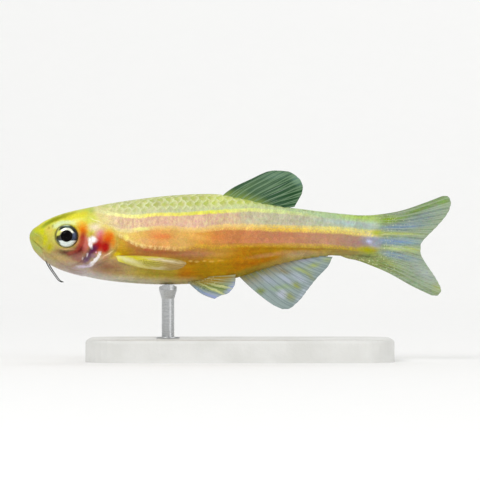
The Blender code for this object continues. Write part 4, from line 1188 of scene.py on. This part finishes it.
eyes = dict(
    # distance from the eye's axis, and how far out, from the lens back to the rear of the ball
    profile=((0.0, 1.00), (0.22, 0.99), (0.42, 0.955), (0.56, 0.90), (0.64, 0.835), (0.675, 0.775),
             (0.70, 0.752), (0.80, 0.715), (1.00, 0.59), (1.15, 0.455), (1.26, 0.30), (1.33, 0.10),
             (1.33, -0.05), (1.15, -0.42), (0.75, -0.70), (0.35, -0.82), (0.0, -0.85)),
    steps=72,
    pupil=0.655,
    points=48,
    sheen=0.35,  # how metallic the iris is
    dark=((48, 56, 66), (78, 88, 106)),
    silver=((206, 222, 214), (250, 254, 250)),
    upper=(244, 246, 226),
    edge=(138, 132, 88),
    pupilHue=(6, 4, 5),
    # soft marks about the eye's middle, like those of the body
    marks=(
        ((-0.90, 0.26), (0.46, 0.24), 62, (240, 240, 112), 0.95, 0.4),     # the yellow patch and its streak
        ((-0.92, 0.66), (0.30, 0.10), 60, (218, 220, 124), 0.9, 0.5),
        ((-0.60, 0.40), (0.34, 0.10), 48, (198, 188, 136), 0.9, 0.5),
        ((-0.50, 0.84), (0.50, 0.10), 26, (40, 52, 18), 0.97, 0.4),        # the dark arch over them
        ((0.10, 1.00), (0.60, 0.09), -4, (68, 94, 80), 0.95, 0.5),
        ((0.60, 0.82), (0.34, 0.11), -44, (74, 76, 44), 0.9, 0.5),
        ((0.82, 0.52), (0.30, 0.14), -40, (28, 36, 24), 0.95, 0.5),
        ((0.90, 0.02), (0.28, 0.44), 0, (72, 82, 106), 0.9, 0.5),
        ((-1.00, -0.15), (0.32, 0.22), 20, (42, 36, 10), 0.95, 0.5),
        ((-0.78, -0.20), (0.20, 0.24), 0, (76, 70, 60), 0.8, 0.6),
        ((-0.94, -0.62), (0.40, 0.13), -58, (58, 68, 40), 0.95, 0.5),
        ((-0.02, 1.22), (0.90, 0.14), 0, (216, 234, 196), 0.95, 0.35),     # the rim, like the skin round it
        ((-1.20, 0.22), (0.10, 0.60), 0, (142, 136, 28), 0.9, 0.5),
        ((1.22, 0.02), (0.10, 0.55), 0, (88, 54, 48), 0.9, 0.5),
        ((0.90, -0.90), (0.55, 0.13), 45, (146, 106, 70), 0.9, 0.5),
        ((-0.88, -0.92), (0.50, 0.14), -45, (128, 134, 84), 0.9, 0.5),
    ),
)


def eyeMaterial():
    material, tree, shader = newMaterial(
        "danioEye", Roughness=0.18, IOR=1.33, Specular_IOR_Level=0.10, Coat_Weight=0.05,
        Coat_Roughness=0.03)
    x, z = head["eye"]
    flat = stretched(tree, fishPlace(tree), (1, 0, 1), location=(-x, 0, -z - 0.04))
    soft = wavered(tree, flat, 3.0, 0.05)
    out, ragged = lengthOf(tree, flat), lengthOf(tree, soft)
    z = axes(tree, soft)["Z"]
    fibres = scattered(tree, flat, (9, 1, 9), 0.7)
    # blue-black sides, silver below and over the pupil, a yellow patch above the front
    low, high = (paint(*hue) for hue in eyes["dark"])
    colour = blend(tree, fade(tree, fibres, 0.35, 0.7), low, high)
    below = fade(tree, z, -0.44, -0.58)
    low, high = (paint(*hue) for hue in eyes["silver"])
    silver = blend(tree, fade(tree, fibres, 0.35, 0.65), low, high)
    colour = blend(tree, below, colour, silver)
    ring = times(tree, fade(tree, ragged, 0.98, 0.86), fade(tree, z, 0.22, 0.46))
    colour = blend(tree, ring, colour, paint(*eyes["upper"]))
    for mark in eyes["marks"]:
        colour = spot(tree, soft, colour, *mark)
    colour = blend(tree, fade(tree, ragged, 1.10, 1.24, (0.0, 0.7)), colour, paint(*eyes["edge"]))
    pupil = eyes["pupil"]
    colour = blend(tree, fade(tree, out, pupil + 0.02, pupil - 0.02), colour, paint(*eyes["pupilHue"]))
    feed(tree, shader.inputs["Base Color"], colour)
    feed(tree, shader.inputs["Metallic"], times(tree, fade(tree, out, pupil, pupil + 0.04), eyes["sheen"]))
    addBump(tree, shader, fibres, 0.00002, 0.35)
    return material


def buildEye(side, name, node, material):
    # the profile is turned about the eye's own axis, which points sideways
    profile = alongLine(eyes["profile"], np.linspace(0, 1, eyes["points"]))
    profile[:, 0] = np.maximum(profile[:, 0], 0.0)
    profile[[0, -1], 0] = 0.0
    bm = turnedForm(profile, eyes["steps"])
    bmesh.ops.rotate(bm, verts=bm.verts, matrix=Matrix.Rotation(-side * math.pi / 2, 3, "X"))
    x, y, z = onSkin(*head["eye"], -head["eyeSink"])
    bmesh.ops.translate(bm, verts=bm.verts, vec=(x, -side * y, z))
    faceOutward(bm)
    makePiece(bm, name, material, (node,))


irisMaterial = eyeMaterial()
for side, word in bothSides:
    buildEye(side, f"eyeball_{word}", f"eye_{word}", irisMaterial)


# barbels: each has its root on the skin, its path, and its radii from root to tip
barbels = dict(
    maxillary=((1.56, -1.52), ((1.85, 1.90, -2.26), (2.24, 1.95, -3.04), (2.84, 1.84, -3.94),
                               (3.34, 1.68, -4.58), (3.78, 1.50, -4.78)), (0.078, 0.060, 0.042)),
    rostral=((0.80, 0.62), ((1.10, 1.98, 0.38), (1.60, 2.22, -0.02), (2.20, 2.38, -0.52)),
             (0.07, 0.045, 0.025)),
    hues=((30, 33, 30), (62, 66, 60)),
)


def barbelMaterial():
    material, tree, shader = newMaterial("danioBarbel", Roughness=0.42, IOR=1.42)
    place = fishPlace(tree)
    tone = fade(tree, noise(tree, place, 4.0, 3.0), 0.35, 0.65)
    dark = blend(tree, tone, *(paint(*hue) for hue in barbels["hues"]))
    # coloured like the skin over the head, grey where the long pair hangs free
    free = fade(tree, axes(tree, place)["Z"], -2.15, -2.6)
    feed(tree, shader.inputs["Base Color"], blend(tree, free, markingsIn(tree)[0], dark))
    bands = noise(tree, stretched(tree, place, (1.0, 0.3, 6.0)), 2.0, 2.0)
    addBump(tree, shader, bands, 0.00003, 0.5)
    return material


def sweep(points, radii, sides=14, rings=60):
    # a tapering tube with rounded ends: a ball's rings drawn out along a line
    bm, ring, turn = ringedBall(sides, rings)
    shares = np.linspace(0, 1, rings + 1)
    line = alongLine(points, shares)
    heading = np.gradient(line, axis=0)
    heading /= np.linalg.norm(heading, axis=1, keepdims=True)
    sideways = np.cross(heading, (0.0, 1.0, 0.0))
    sideways /= np.linalg.norm(sideways, axis=1, keepdims=True)
    other = np.cross(heading, sideways)
    width = throughPoints(np.linspace(0, 1, len(radii)), radii, shares)
    width *= np.sqrt(1 - np.clip(1 - np.minimum(shares, 1 - shares) * 25, 0, 1) ** 2)
    places = line[ring] + width[ring][:, None] * (
        sideways[ring] * np.cos(turn)[:, None] + other[ring] * np.sin(turn)[:, None])
    writePlaces(bm, places)
    faceOutward(bm)
    return bm


def buildBarbel(which, side, word, material):
    root, path, radii = barbels[which]
    bm = sweep([onSkin(*root, -0.15), onSkin(*root, 0.12), *((x, -y, z) for x, y, z in path)], radii)
    ontoSide(bm, side)
    makePiece(bm, f"feeler_{which}_{word}", material, (f"barbel_{which}_{word}",))


feelerMaterial = barbelMaterial()
for side, word in bothSides:
    for which in ("maxillary", "rostral"):
        buildBarbel(which, side, word, feelerMaterial)


fins = dict(
    columnsPerRay=14,
    membrane=0.10,  # thickness between the rays
    rayRootThickness=0.26,
    rayTipThickness=0.12,
    notch=0.005,    # how far the edge draws in between two rays
    fork=0.19,      # how far a ray's two branches part, and then their twigs
    twig=0.085,
    markBlur=0.85,
    beadHue=(232, 236, 190),
)


def alongBody(name, start, end, lift, count=6):
    # points along the back or the belly
    return [(x, float(bodyLine(name, x)) + lift) for x in np.linspace(start, end, count)]


def flatEdge(points):
    # points of two numbers lie on the fish's middle plane
    return [(p[0], 0.0, p[1]) if len(p) == 2 else p for p in points]


def rayShape(across, out, rays, simple):
    # the height of the rays' relief: each ray but the first few forks twice on its way out
    place = across * (rays - 1)
    nearest = np.round(place)
    offset = place - nearest
    forks = nearest >= simple
    first = fins["fork"] * stepUp(0.35, 0.85, out) * forks
    second = fins["twig"] * stepUp(0.72, 1.0, out) * forks
    width = 0.15 - 0.055 * out
    relief = np.zeros(across.shape)
    for way in (-1, 1):
        for twig in (-1, 1):
            relief = np.maximum(relief, hump(offset - way * first - twig * second, width))
    return relief, np.abs(offset) * 2


def finForm(root, lead, margin, last, rays, rows, simple=1, bow=0.0, ridge=1.0):
    # a sheet between four edges: root and margin run from the first ray to the last, and lead and last
    # out along those two rays
    root, margin = flatEdge(root), flatEdge(margin)
    lead, last = [root[0], *flatEdge(lead)], [root[-1], *flatEdge(last), margin[-1]]
    columns = (rays - 1) * fins["columnsPerRay"]
    bm = bmesh.new()
    bmesh.ops.create_grid(bm, x_segments=columns, y_segments=rows, size=1.0)
    uv = bm.loops.layers.uv.new("fin")
    for face in bm.faces:
        for loop in face.loops:
            loop[uv].uv = ((loop.vert.co.x + 1) / 2 * (rays - 1), (loop.vert.co.y + 1) / 2)
    bmesh.ops.extrude_face_region(bm, geom=list(bm.faces))
    flat = readPlaces(bm)
    half = len(flat) // 2
    side = np.ones(len(flat))
    side[half:] = -1.0
    across, out = (flat[:, 0] + 1) / 2, (flat[:, 1] + 1) / 2
    relief, between = rayShape(across, out, rays, simple)
    reach = out * (1 - fins["notch"] * between ** 2 * stepUp(0.7, 1.0, out))
    corners = [np.asarray(part, float) for part in (root[0], root[-1], margin[0], margin[-1])]
    a, t = across[:, None], reach[:, None]
    places = (
        alongLine(root, across) * (1 - t) + alongLine(margin, across) * t
        + alongLine(lead, reach) * (1 - a) + alongLine(last, reach) * a
        - (corners[0] * (1 - a) + corners[1] * a) * (1 - t)
        - (corners[2] * (1 - a) + corners[3] * a) * t
    )
    writePlaces(bm, places)
    bm.normal_update()
    facing = np.array([vert.normal for vert in bm.verts], float)
    facing[half:] = facing[:half]
    # the sheet's own facing, turned to one side
    facing *= np.sign(facing @ facing.mean(axis=0))[:, None]
    thin = fins["membrane"] / 2
    rayHalf = (fins["rayRootThickness"] + (fins["rayTipThickness"] - fins["rayRootThickness"]) * out) / 2
    # the root is fleshy, so that the rays only part a little way out
    filled = np.maximum(relief, 0.95 * stepUp(0.16, 0.04, out))
    halfThick = thin + ridge * (rayHalf - thin) * filled
    halfThick *= 1 - 0.6 * stepUp(0.93, 1.0, out)
    ripple = bow * np.sin(across * math.pi * 2.2 + 0.6) * out ** 1.5
    writePlaces(bm, places + facing * (halfThick * side + ripple)[:, None])
    keepValues(bm, "ray", relief)
    faceOutward(bm)
    return bm


def finMaterial(name, membrane, ray, rootHue, marks=(), clear=0.0, rayPower=0.75, rootReach=0.45,
                glitter=0.0, threadPower=1.0):
    material, tree, shader = newMaterial(
        name, Roughness=0.40, IOR=1.36, Specular_IOR_Level=0.12, Coat_Weight=0.05, Coat_Roughness=0.3)
    steady = fishPlace(tree)
    relief = add(tree, "Attribute", attribute_name="ray").outputs["Fac"]
    uv = add(tree, "UVMap", uv_map="fin").outputs[0]
    out = axes(tree, uv)["Y"]
    bones = fade(tree, relief, 0.25, 0.85, (0.0, rayPower))
    if marks:
        flat = stretched(tree, wavered(tree, wavered(tree, steady, 1.5, 0.20), 4.5, 0.10), (1, 0, 1))
        colour = blend(tree, fade(tree, out, rootReach, 0.0), paint(*membrane), paint(*rootHue))
        for mark in marks:
            colour = spot(tree, flat, colour, *mark, fins["markBlur"])
    else:
        # the tail fin goes on with the body's markings, and its rays come out from under the last scales
        colour = markingsIn(tree)[0]
        bones = times(tree, bones, fade(tree, axes(tree, steady)["X"], 38.2, 40.2))
    # pale and dark threads along the rays
    threads = scattered(tree, uv, (6.0, 1.1, 1.0), 0.65)
    if glitter:
        beads = fade(tree, noise(tree, steady, 6.0, 1.0), 0.62, 0.70, (0.0, glitter))
        beads = times(tree, beads, fade(tree, out, 0.75, 0.35))
        colour = blend(tree, beads, colour, paint(*fins["beadHue"]))
    pale = fade(tree, threads, 0.52, 0.74, (0.0, 0.30 * threadPower))
    colour = blend(tree, pale, colour, paint(*(0.45 * c + 138 for c in ray)))
    dark = fade(tree, threads, 0.46, 0.26, (0.0, 0.22 * threadPower))
    colour = blend(tree, dark, colour, paint(*(0.62 * c for c in membrane)))
    joints = calc(tree, "SINE", times(tree, out, 170.0))
    bones = times(tree, bones, fade(tree, joints, -1.0, -0.5, (0.88, 1.0)))
    colour = blend(tree, bones, colour, paint(*ray))
    feed(tree, shader.inputs["Base Color"], colour)
    if clear:
        solid = fade(tree, relief, 0.15, 0.8, (1 - clear, 1.0 - 0.5 * clear))
        feed(tree, shader.inputs["Alpha"], calc(tree, "MAXIMUM", solid, fade(tree, out, 0.5, 0.0)))
    below = addBump(tree, shader, joints, 0.000015, 0.5)
    addBump(tree, shader, noise(tree, steady, 10.0, 3.0), 0.00002, 0.5, below)
    return material


def buildFin(name, slotName, nodes, material, *forms, side=-1):
    bm = finForm(**forms[0])
    for form in forms[1:]:
        other = finForm(**form)
        mesh = bpy.data.meshes.new("otherLobe")
        other.to_mesh(mesh)
        other.free()
        bm.from_mesh(mesh)
        bpy.data.meshes.remove(mesh)
    ontoSide(bm, side)
    makePiece(bm, name, material, nodes)


dorsal = dict(
    form=dict(
        root=((21.2, 4.55), *alongBody("back", 22.4, 27.2, -0.5)),
        lead=((21.8, 5.16), (22.85, 5.86), (24.5, 6.64), (25.6, 7.18), (26.4, 7.52)),
        margin=((26.4, 7.52), (27.1, 7.64), (28.0, 7.62), (28.9, 7.50), (29.5, 7.16), (30.1, 6.60),
                (30.38, 5.86), (30.26, 5.05), (29.85, 4.30), (29.45, 3.60)),
        last=((28.3, 3.42),),
        rays=10, rows=44, simple=1, bow=0.10),
    look=dict(
        membrane=(50, 84, 56), ray=(122, 152, 116), rootHue=(140, 160, 72), rayPower=0.62, rootReach=0.34,
        threadPower=1.7,
        marks=(
            ((23.6, 5.35), (1.9, 0.40), 32, (104, 132, 84), 0.7),
            ((25.9, 5.9), (2.0, 1.0), 20, (90, 118, 88), 0.7),
            ((29.9, 6.7), (0.9, 0.7), -40, (118, 152, 136), 0.8),
            ((29.3, 4.9), (1.3, 1.1), 0, (34, 72, 38), 0.85),
            ((27.4, 7.1), (1.6, 0.45), 5, (98, 128, 108), 0.8),
        )),
)
buildFin("fin_dorsal", "dorsal_fin", ("dorsal_fin",), finMaterial("danioDorsalFin", **dorsal["look"]),
         dorsal["form"])

anal = dict(
    form=dict(
        root=alongBody("belly", 23.0, 31.0, 0.45),
        lead=((24.4, -5.20), (25.8, -6.38), (27.1, -7.30), (28.1, -7.76)),
        margin=((28.1, -7.76), (28.9, -7.70), (29.5, -7.26), (30.2, -6.58), (31.0, -5.50), (32.0, -4.26),
                (33.2, -2.98), (33.68, -1.96)),
        last=((32.4, float(bodyLine("belly", 32.4)) + 0.12),),
        rays=14, rows=48, simple=2, bow=0.10),
    look=dict(
        membrane=(148, 164, 162), ray=(112, 126, 126), rootHue=(146, 128, 84), rayPower=0.5, rootReach=0.42,
        threadPower=1.5,
        marks=(
            ((25.0, -3.9), (1.8, 0.5), 15, (124, 130, 74), 0.75),
            ((25.7, -5.72), (0.55, 0.40), 0, (122, 136, 34), 0.9),
            ((29.6, -5.10), (0.62, 0.38), -30, (142, 150, 34), 0.9),
            ((28.9, -6.35), (0.70, 0.42), -35, (148, 156, 84), 0.85),
            ((28.1, -5.35), (1.3, 0.32), 8, (148, 174, 118), 0.7),
            ((26.0, -3.15), (1.3, 0.36), 18, (110, 118, 34), 0.8),
            ((28.3, -3.56), (1.0, 0.34), -8, (128, 116, 74), 0.75),
            ((30.3, -3.44), (1.2, 0.30), -16, (164, 178, 100), 0.8),
            ((31.6, -2.90), (0.8, 0.30), 14, (168, 182, 96), 0.8),
            ((31.2, -4.1), (0.8, 0.25), -40, (146, 152, 84), 0.7),
            ((33.1, -2.3), (0.6, 0.35), 0, (166, 180, 110), 0.7),
            ((28.05, -6.05), (0.55, 0.50), -30, (194, 198, 214), 0.9),
            ((30.0, -4.3), (1.1, 0.35), -30, (184, 192, 208), 0.85),
            ((28.5, -4.45), (1.0, 0.36), -28, (176, 184, 202), 0.75),
            ((26.6, -4.5), (1.2, 0.40), -24, (164, 174, 190), 0.7),
            ((30.3, -6.1), (1.3, 0.28), 52, (182, 192, 204), 0.85),
            ((30.6, -2.3), (1.0, 0.26), 4, (168, 172, 190), 0.75),
        )),
)
buildFin("fin_anal", "anal_fin", ("anal_fin",), finMaterial("danioAnalFin", **anal["look"]), anal["form"])

tailStart = 37.3
caudal = dict(
    upper=dict(
        root=((35.2, float(bodyLine("back", 35.2)) - 0.12), (36.6, 1.9), (tailStart, 1.2), (tailStart, 0.5),
              (tailStart, -0.16)),
        lead=((36.6, float(bodyLine("back", 38.0)) + 0.16), (38.3, float(bodyLine("back", 38.0)) + 0.20),
              (41.2, 3.16), (43.8, 4.02), (45.9, 4.82)),
        margin=((45.9, 4.80), (46.5, 4.76), (46.85, 4.10), (46.52, 2.95), (45.36, 1.50), (44.15, 0.28),
                (43.55, -0.45), (43.47, -1.0)),
        last=((41.0, -0.50),),
        rays=11, rows=56, simple=2, bow=0.08),
    # the two lobes overlap a little along the middle
    lower=dict(
        root=(*alongBody("belly", 33.9, 37.0, 0.30, 3), (tailStart, -1.35), (tailStart, -0.7),
              (tailStart, -0.04)),
        lead=((35.3, -2.12), (36.2, -2.30), (37.2, -2.62), (39.8, -3.70), (42.5, -5.20), (44.7, -6.24)),
        margin=((44.7, -6.24), (45.4, -6.22), (45.75, -5.60), (45.05, -4.15), (44.1, -2.75), (43.5, -1.65),
                (43.47, -1.0)),
        last=((41.0, -0.38),),
        rays=12, rows=56, simple=2, bow=0.08),
    look=dict(
        membrane=(136, 152, 120), ray=(168, 182, 160), rootHue=(146, 160, 96), rayPower=0.48, glitter=0.5,
        threadPower=1.5),
)
buildFin("fin_tail", "caudal_fin", ("caudal_fin_upper", "caudal_fin_lower"),
         finMaterial("danioTailFin", **caudal["look"]), caudal["upper"], caudal["lower"])


def aslant(x, z):
    # the pelvic fins spread outward on their way down
    return (x, -(0.8 + 0.62 * (-4.9 - z)), z)


def belowSkin(x, y, lift):
    level, belly, width = (float(bodyLine(name, x)) for name in ("level", "belly", "width"))
    return (x, -y, level - (level - belly) * math.sqrt(max(1 - (y / width) ** 2, 0.0)) + lift)


pelvic = dict(
    form=dict(
        root=(aslant(17.3, -4.45), aslant(18.05, -4.45), aslant(18.8, -4.45)),
        lead=(aslant(18.4, -5.46), aslant(19.3, -6.10), aslant(20.6, -6.60)),
        # the last ray lies along the belly
        margin=(aslant(20.6, -6.60), aslant(21.3, -6.24), aslant(22.0, -6.02), aslant(22.5, -5.55),
                aslant(22.85, -4.95), belowSkin(22.9, 0.9, -0.05)),
        last=(belowSkin(20.0, 1.05, 0.10), belowSkin(21.4, 1.0, 0.04)),
        rays=8, rows=38, simple=1, bow=0.05),
    look=dict(
        membrane=(120, 138, 122), ray=(184, 196, 156), rootHue=(140, 126, 40), rayPower=0.34, glitter=0.5,
        threadPower=1.2,
        marks=(
            ((19.9, -5.15), (2.1, 0.80), -18, (100, 118, 46), 0.9),
            ((21.0, -5.35), (1.5, 0.65), -20, (114, 132, 64), 0.85),
            ((18.5, -5.60), (1.6, 0.44), -34, (124, 148, 172), 0.92),
            ((20.6, -6.44), (2.1, 0.52), -14, (148, 160, 204), 0.98),
            ((22.50, -5.55), (1.5, 0.54), 56, (150, 162, 208), 0.98),
            ((20.7, -4.36), (3.0, 0.62), 8, (158, 124, 20), 0.99),
            ((20.9, -5.75), (1.3, 0.13), -24, (214, 216, 150), 0.8),
            ((21.4, -5.20), (1.3, 0.12), -10, (214, 214, 144), 0.8),
            ((20.0, -5.38), (1.4, 0.10), -26, (200, 206, 134), 0.75),
        )),
)
pectoral = dict(
    form=dict(
        root=(onSkin(9.7, -1.82, -0.12), onSkin(9.8, -2.1, -0.12), onSkin(9.9, -2.38, -0.12)),
        lead=(onSkin(10.3, -1.84, 0.28), (12.2, -3.60, -1.84), (15.0, -4.60, -2.02), (17.1, -5.15, -2.40)),
        margin=((17.1, -5.15, -2.40), (17.5, -5.15, -2.64), (17.0, -4.80, -3.14), (15.6, -3.85, -3.44)),
        last=((12.4, -3.25, -3.10),),
        rays=11, rows=40, simple=1, bow=0.03, ridge=0.5),
    look=dict(
        membrane=(190, 166, 96), ray=(222, 206, 150), rootHue=(240, 228, 60), clear=0.6, rayPower=0.18,
        threadPower=1.3,
        marks=(
            ((12.0, -2.45), (2.8, 0.75), -8, (224, 218, 96), 0.9),
            ((13.6, -2.66), (1.3, 0.36), -8, (158, 156, 24), 0.8),
            ((16.4, -2.95), (1.6, 0.60), 0, (166, 134, 84), 0.9),
            ((12.2, -1.95), (3.4, 0.36), -3, (250, 244, 24), 0.98),
            ((11.2, -2.30), (1.5, 0.30), -20, (255, 252, 196), 0.97),
            ((12.4, -2.94), (1.5, 0.16), -16, (246, 240, 150), 0.9),
            ((14.9, -2.32), (2.1, 0.18), -8, (252, 240, 206), 0.95),
            ((14.4, -3.22), (0.9, 0.20), 0, (242, 232, 190), 0.85),
        )),
)
pairedFins = (("pelvic", pelvic, finMaterial("danioPelvicFin", **pelvic["look"])),
              ("pectoral", pectoral, finMaterial("danioPectoralFin", **pectoral["look"])))
for side, word in bothSides:
    for which, fin, material in pairedFins:
        buildFin(f"fin_{which}_{word}", f"{which}_fin", (f"{which}_fin_{word}",), material, fin["form"],
                 side=side)


# the modelled base and rod are shown as they are, with paint and brushed steel
stand = dict(
    paint=((214, 214, 210), (224, 224, 221)),
    steel=((168, 170, 172), (206, 208, 208)),
)


def standPaint():
    material, tree, shader = newMaterial("standPaint", Roughness=0.45, Coat_Weight=0.1)
    place = fishPlace(tree)
    low, high = (paint(*hue) for hue in stand["paint"])
    tone = fade(tree, noise(tree, place, 0.25, 3.0), 0.3, 0.7)
    feed(tree, shader.inputs["Base Color"], blend(tree, tone, low, high))
    feed(tree, shader.inputs["Roughness"], fade(tree, noise(tree, place, 1.5, 3.0), 0.3, 0.7, (0.40, 0.52)))
    addBump(tree, shader, noise(tree, place, 3.5, 2.0), 0.00006, 0.4)
    return material


def standSteel():
    material, tree, shader = newMaterial("standSteel", Metallic=1.0, Roughness=0.3)
    place = fishPlace(tree)
    low, high = (paint(*hue) for hue in stand["steel"])
    turned = scattered(tree, place, (0.4, 0.4, 14.0), 0.7)
    feed(tree, shader.inputs["Base Color"], blend(tree, turned, low, high))
    feed(tree, shader.inputs["Roughness"], fade(tree, turned, 0.3, 0.7, (0.22, 0.38)))
    addBump(tree, shader, turned, 0.00002, 0.5)
    return material


collar = dict(
    inner=0.72,  # just clear of the rod
    outer=0.95,  # just clear of the socket's wall
    flange=1.30,
    thickness=0.16,
    lift=0.01,   # over the base's top
    depth=0.90,
    edge=0.05,
    steps=64,
)


def buildCollar(material):
    # a turned collar that closes the ring round the rod's foot
    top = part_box("stand_base")[1][2] * 1000 - fish["axis"] + collar["lift"]
    low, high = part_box("stand_rod")
    middle = (low[0] + high[0]) * 500 + fish["middle"]
    inner, outer, flange = collar["inner"], collar["outer"], collar["flange"]
    depth, thickness = collar["depth"], collar["thickness"]
    bm = turnedForm(((inner, -depth), (outer, -depth), (outer, 0.0), (flange, 0.0), (flange, thickness),
                     (inner, thickness)), collar["steps"], closed=True)
    faceOutward(bm)
    rims = [edge for edge in bm.edges if edge.calc_face_angle(0) > 1.0]
    bmesh.ops.bevel(bm, geom=rims, offset=collar["edge"], segments=3, profile=0.5, affect="EDGES",
                    material=-1)
    bmesh.ops.translate(bm, verts=bm.verts, vec=(middle, 0, top))
    makePiece(bm, "stand_collar", material)


steel = standSteel()
for nodeName, material in (("stand_base", standPaint()), ("stand_rod", steel)):
    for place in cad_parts[nodeName].material_slots:
        place.material = material
buildCollar(steel)


studio = dict(
    floorTone=(250, 250, 249),
    floorHalfWidth=1.8,
    floorRun=(-0.75, 1.0),  # where the flat part begins and how long it is
    flatShare=0.45,         # the shares of the sheet that lie flat and bend; the rest is the wall
    bendShare=0.25,
    bendRadius=0.35,
    wallHeight=1.1,
    worldStrength=0.62,
    aim=(0, 0, 0.0135),
    # place, width and power of each lamp
    lamps=dict(
        key=((-0.30, -0.50, 0.50), 0.45, 2.05),
        fill=((0.45, -0.40, 0.20), 0.50, 0.8),
        back=((0.10, 0.40, 0.50), 0.40, 0.5)),
    sensor=36.0,
    cameraDistance=0.45,
    viewWidth=0.05333,      # how much the picture shows at the fish
    height=0.01342,
)


def buildFloor():
    # a floor that curves up into the backdrop
    start, run = studio["floorRun"]
    flatShare, bendShare, radius = studio["flatShare"], studio["bendShare"], studio["bendRadius"]
    bm = bmesh.new()
    bmesh.ops.create_grid(bm, x_segments=1, y_segments=48, size=1.0)
    for vert in bm.verts:
        t = (vert.co.y + 1) / 2
        bend = np.clip((t - flatShare) / bendShare, 0, 1) * math.pi / 2
        along = min(t, flatShare) / flatShare * run + start
        rise = max(t - flatShare - bendShare, 0.0) / (1 - flatShare - bendShare) * studio["wallHeight"]
        vert.co = (vert.co.x * studio["floorHalfWidth"], along + radius * math.sin(bend),
                   radius * (1 - math.cos(bend)) + rise)
    material, tree, shader = newMaterial("studioPaper", Roughness=0.9)
    grain = noise(tree, add(tree, "TexCoord").outputs["Object"], 300.0, 2.0)
    low, high = paint(*(tone - 2 for tone in studio["floorTone"])), paint(*studio["floorTone"])
    feed(tree, shader.inputs["Base Color"], blend(tree, grain, low, high))
    floor = newObject(bm, "floor", material)


def addLight(name, place, size, power):
    data = bpy.data.lights.new(name, "AREA")
    data.shape = "DISK"
    data.size = size
    data.energy = power
    light = bpy.data.objects.new(name, data)
    light.location = place
    light.rotation_euler = (Vector(studio["aim"]) - Vector(place)).to_track_quat("-Z", "Y").to_euler()
    bpy.context.scene.collection.objects.link(light)


def addCamera():
    data = bpy.data.cameras.new("camera")
    data.sensor_width = studio["sensor"]
    data.lens = studio["sensor"] * studio["cameraDistance"] / studio["viewWidth"]
    data.clip_start = 0.01
    camera = bpy.data.objects.new("camera", data)
    camera.location = (0.0, -studio["cameraDistance"], studio["height"])
    camera.rotation_euler = (math.pi / 2, 0, 0)
    bpy.context.scene.collection.objects.link(camera)
    bpy.context.scene.camera = camera


buildFloor()
for name, lamp in studio["lamps"].items():
    addLight(name, *lamp)
world = bpy.data.worlds.new("studio")
world.use_nodes = True
background = world.node_tree.nodes["Background"].inputs
background["Color"].default_value = (1, 1, 1, 1)
background["Strength"].default_value = studio["worldStrength"]
bpy.context.scene.world = world
bpy.context.scene.view_settings.view_transform = "Standard"
addCamera()
print("stage: studio")
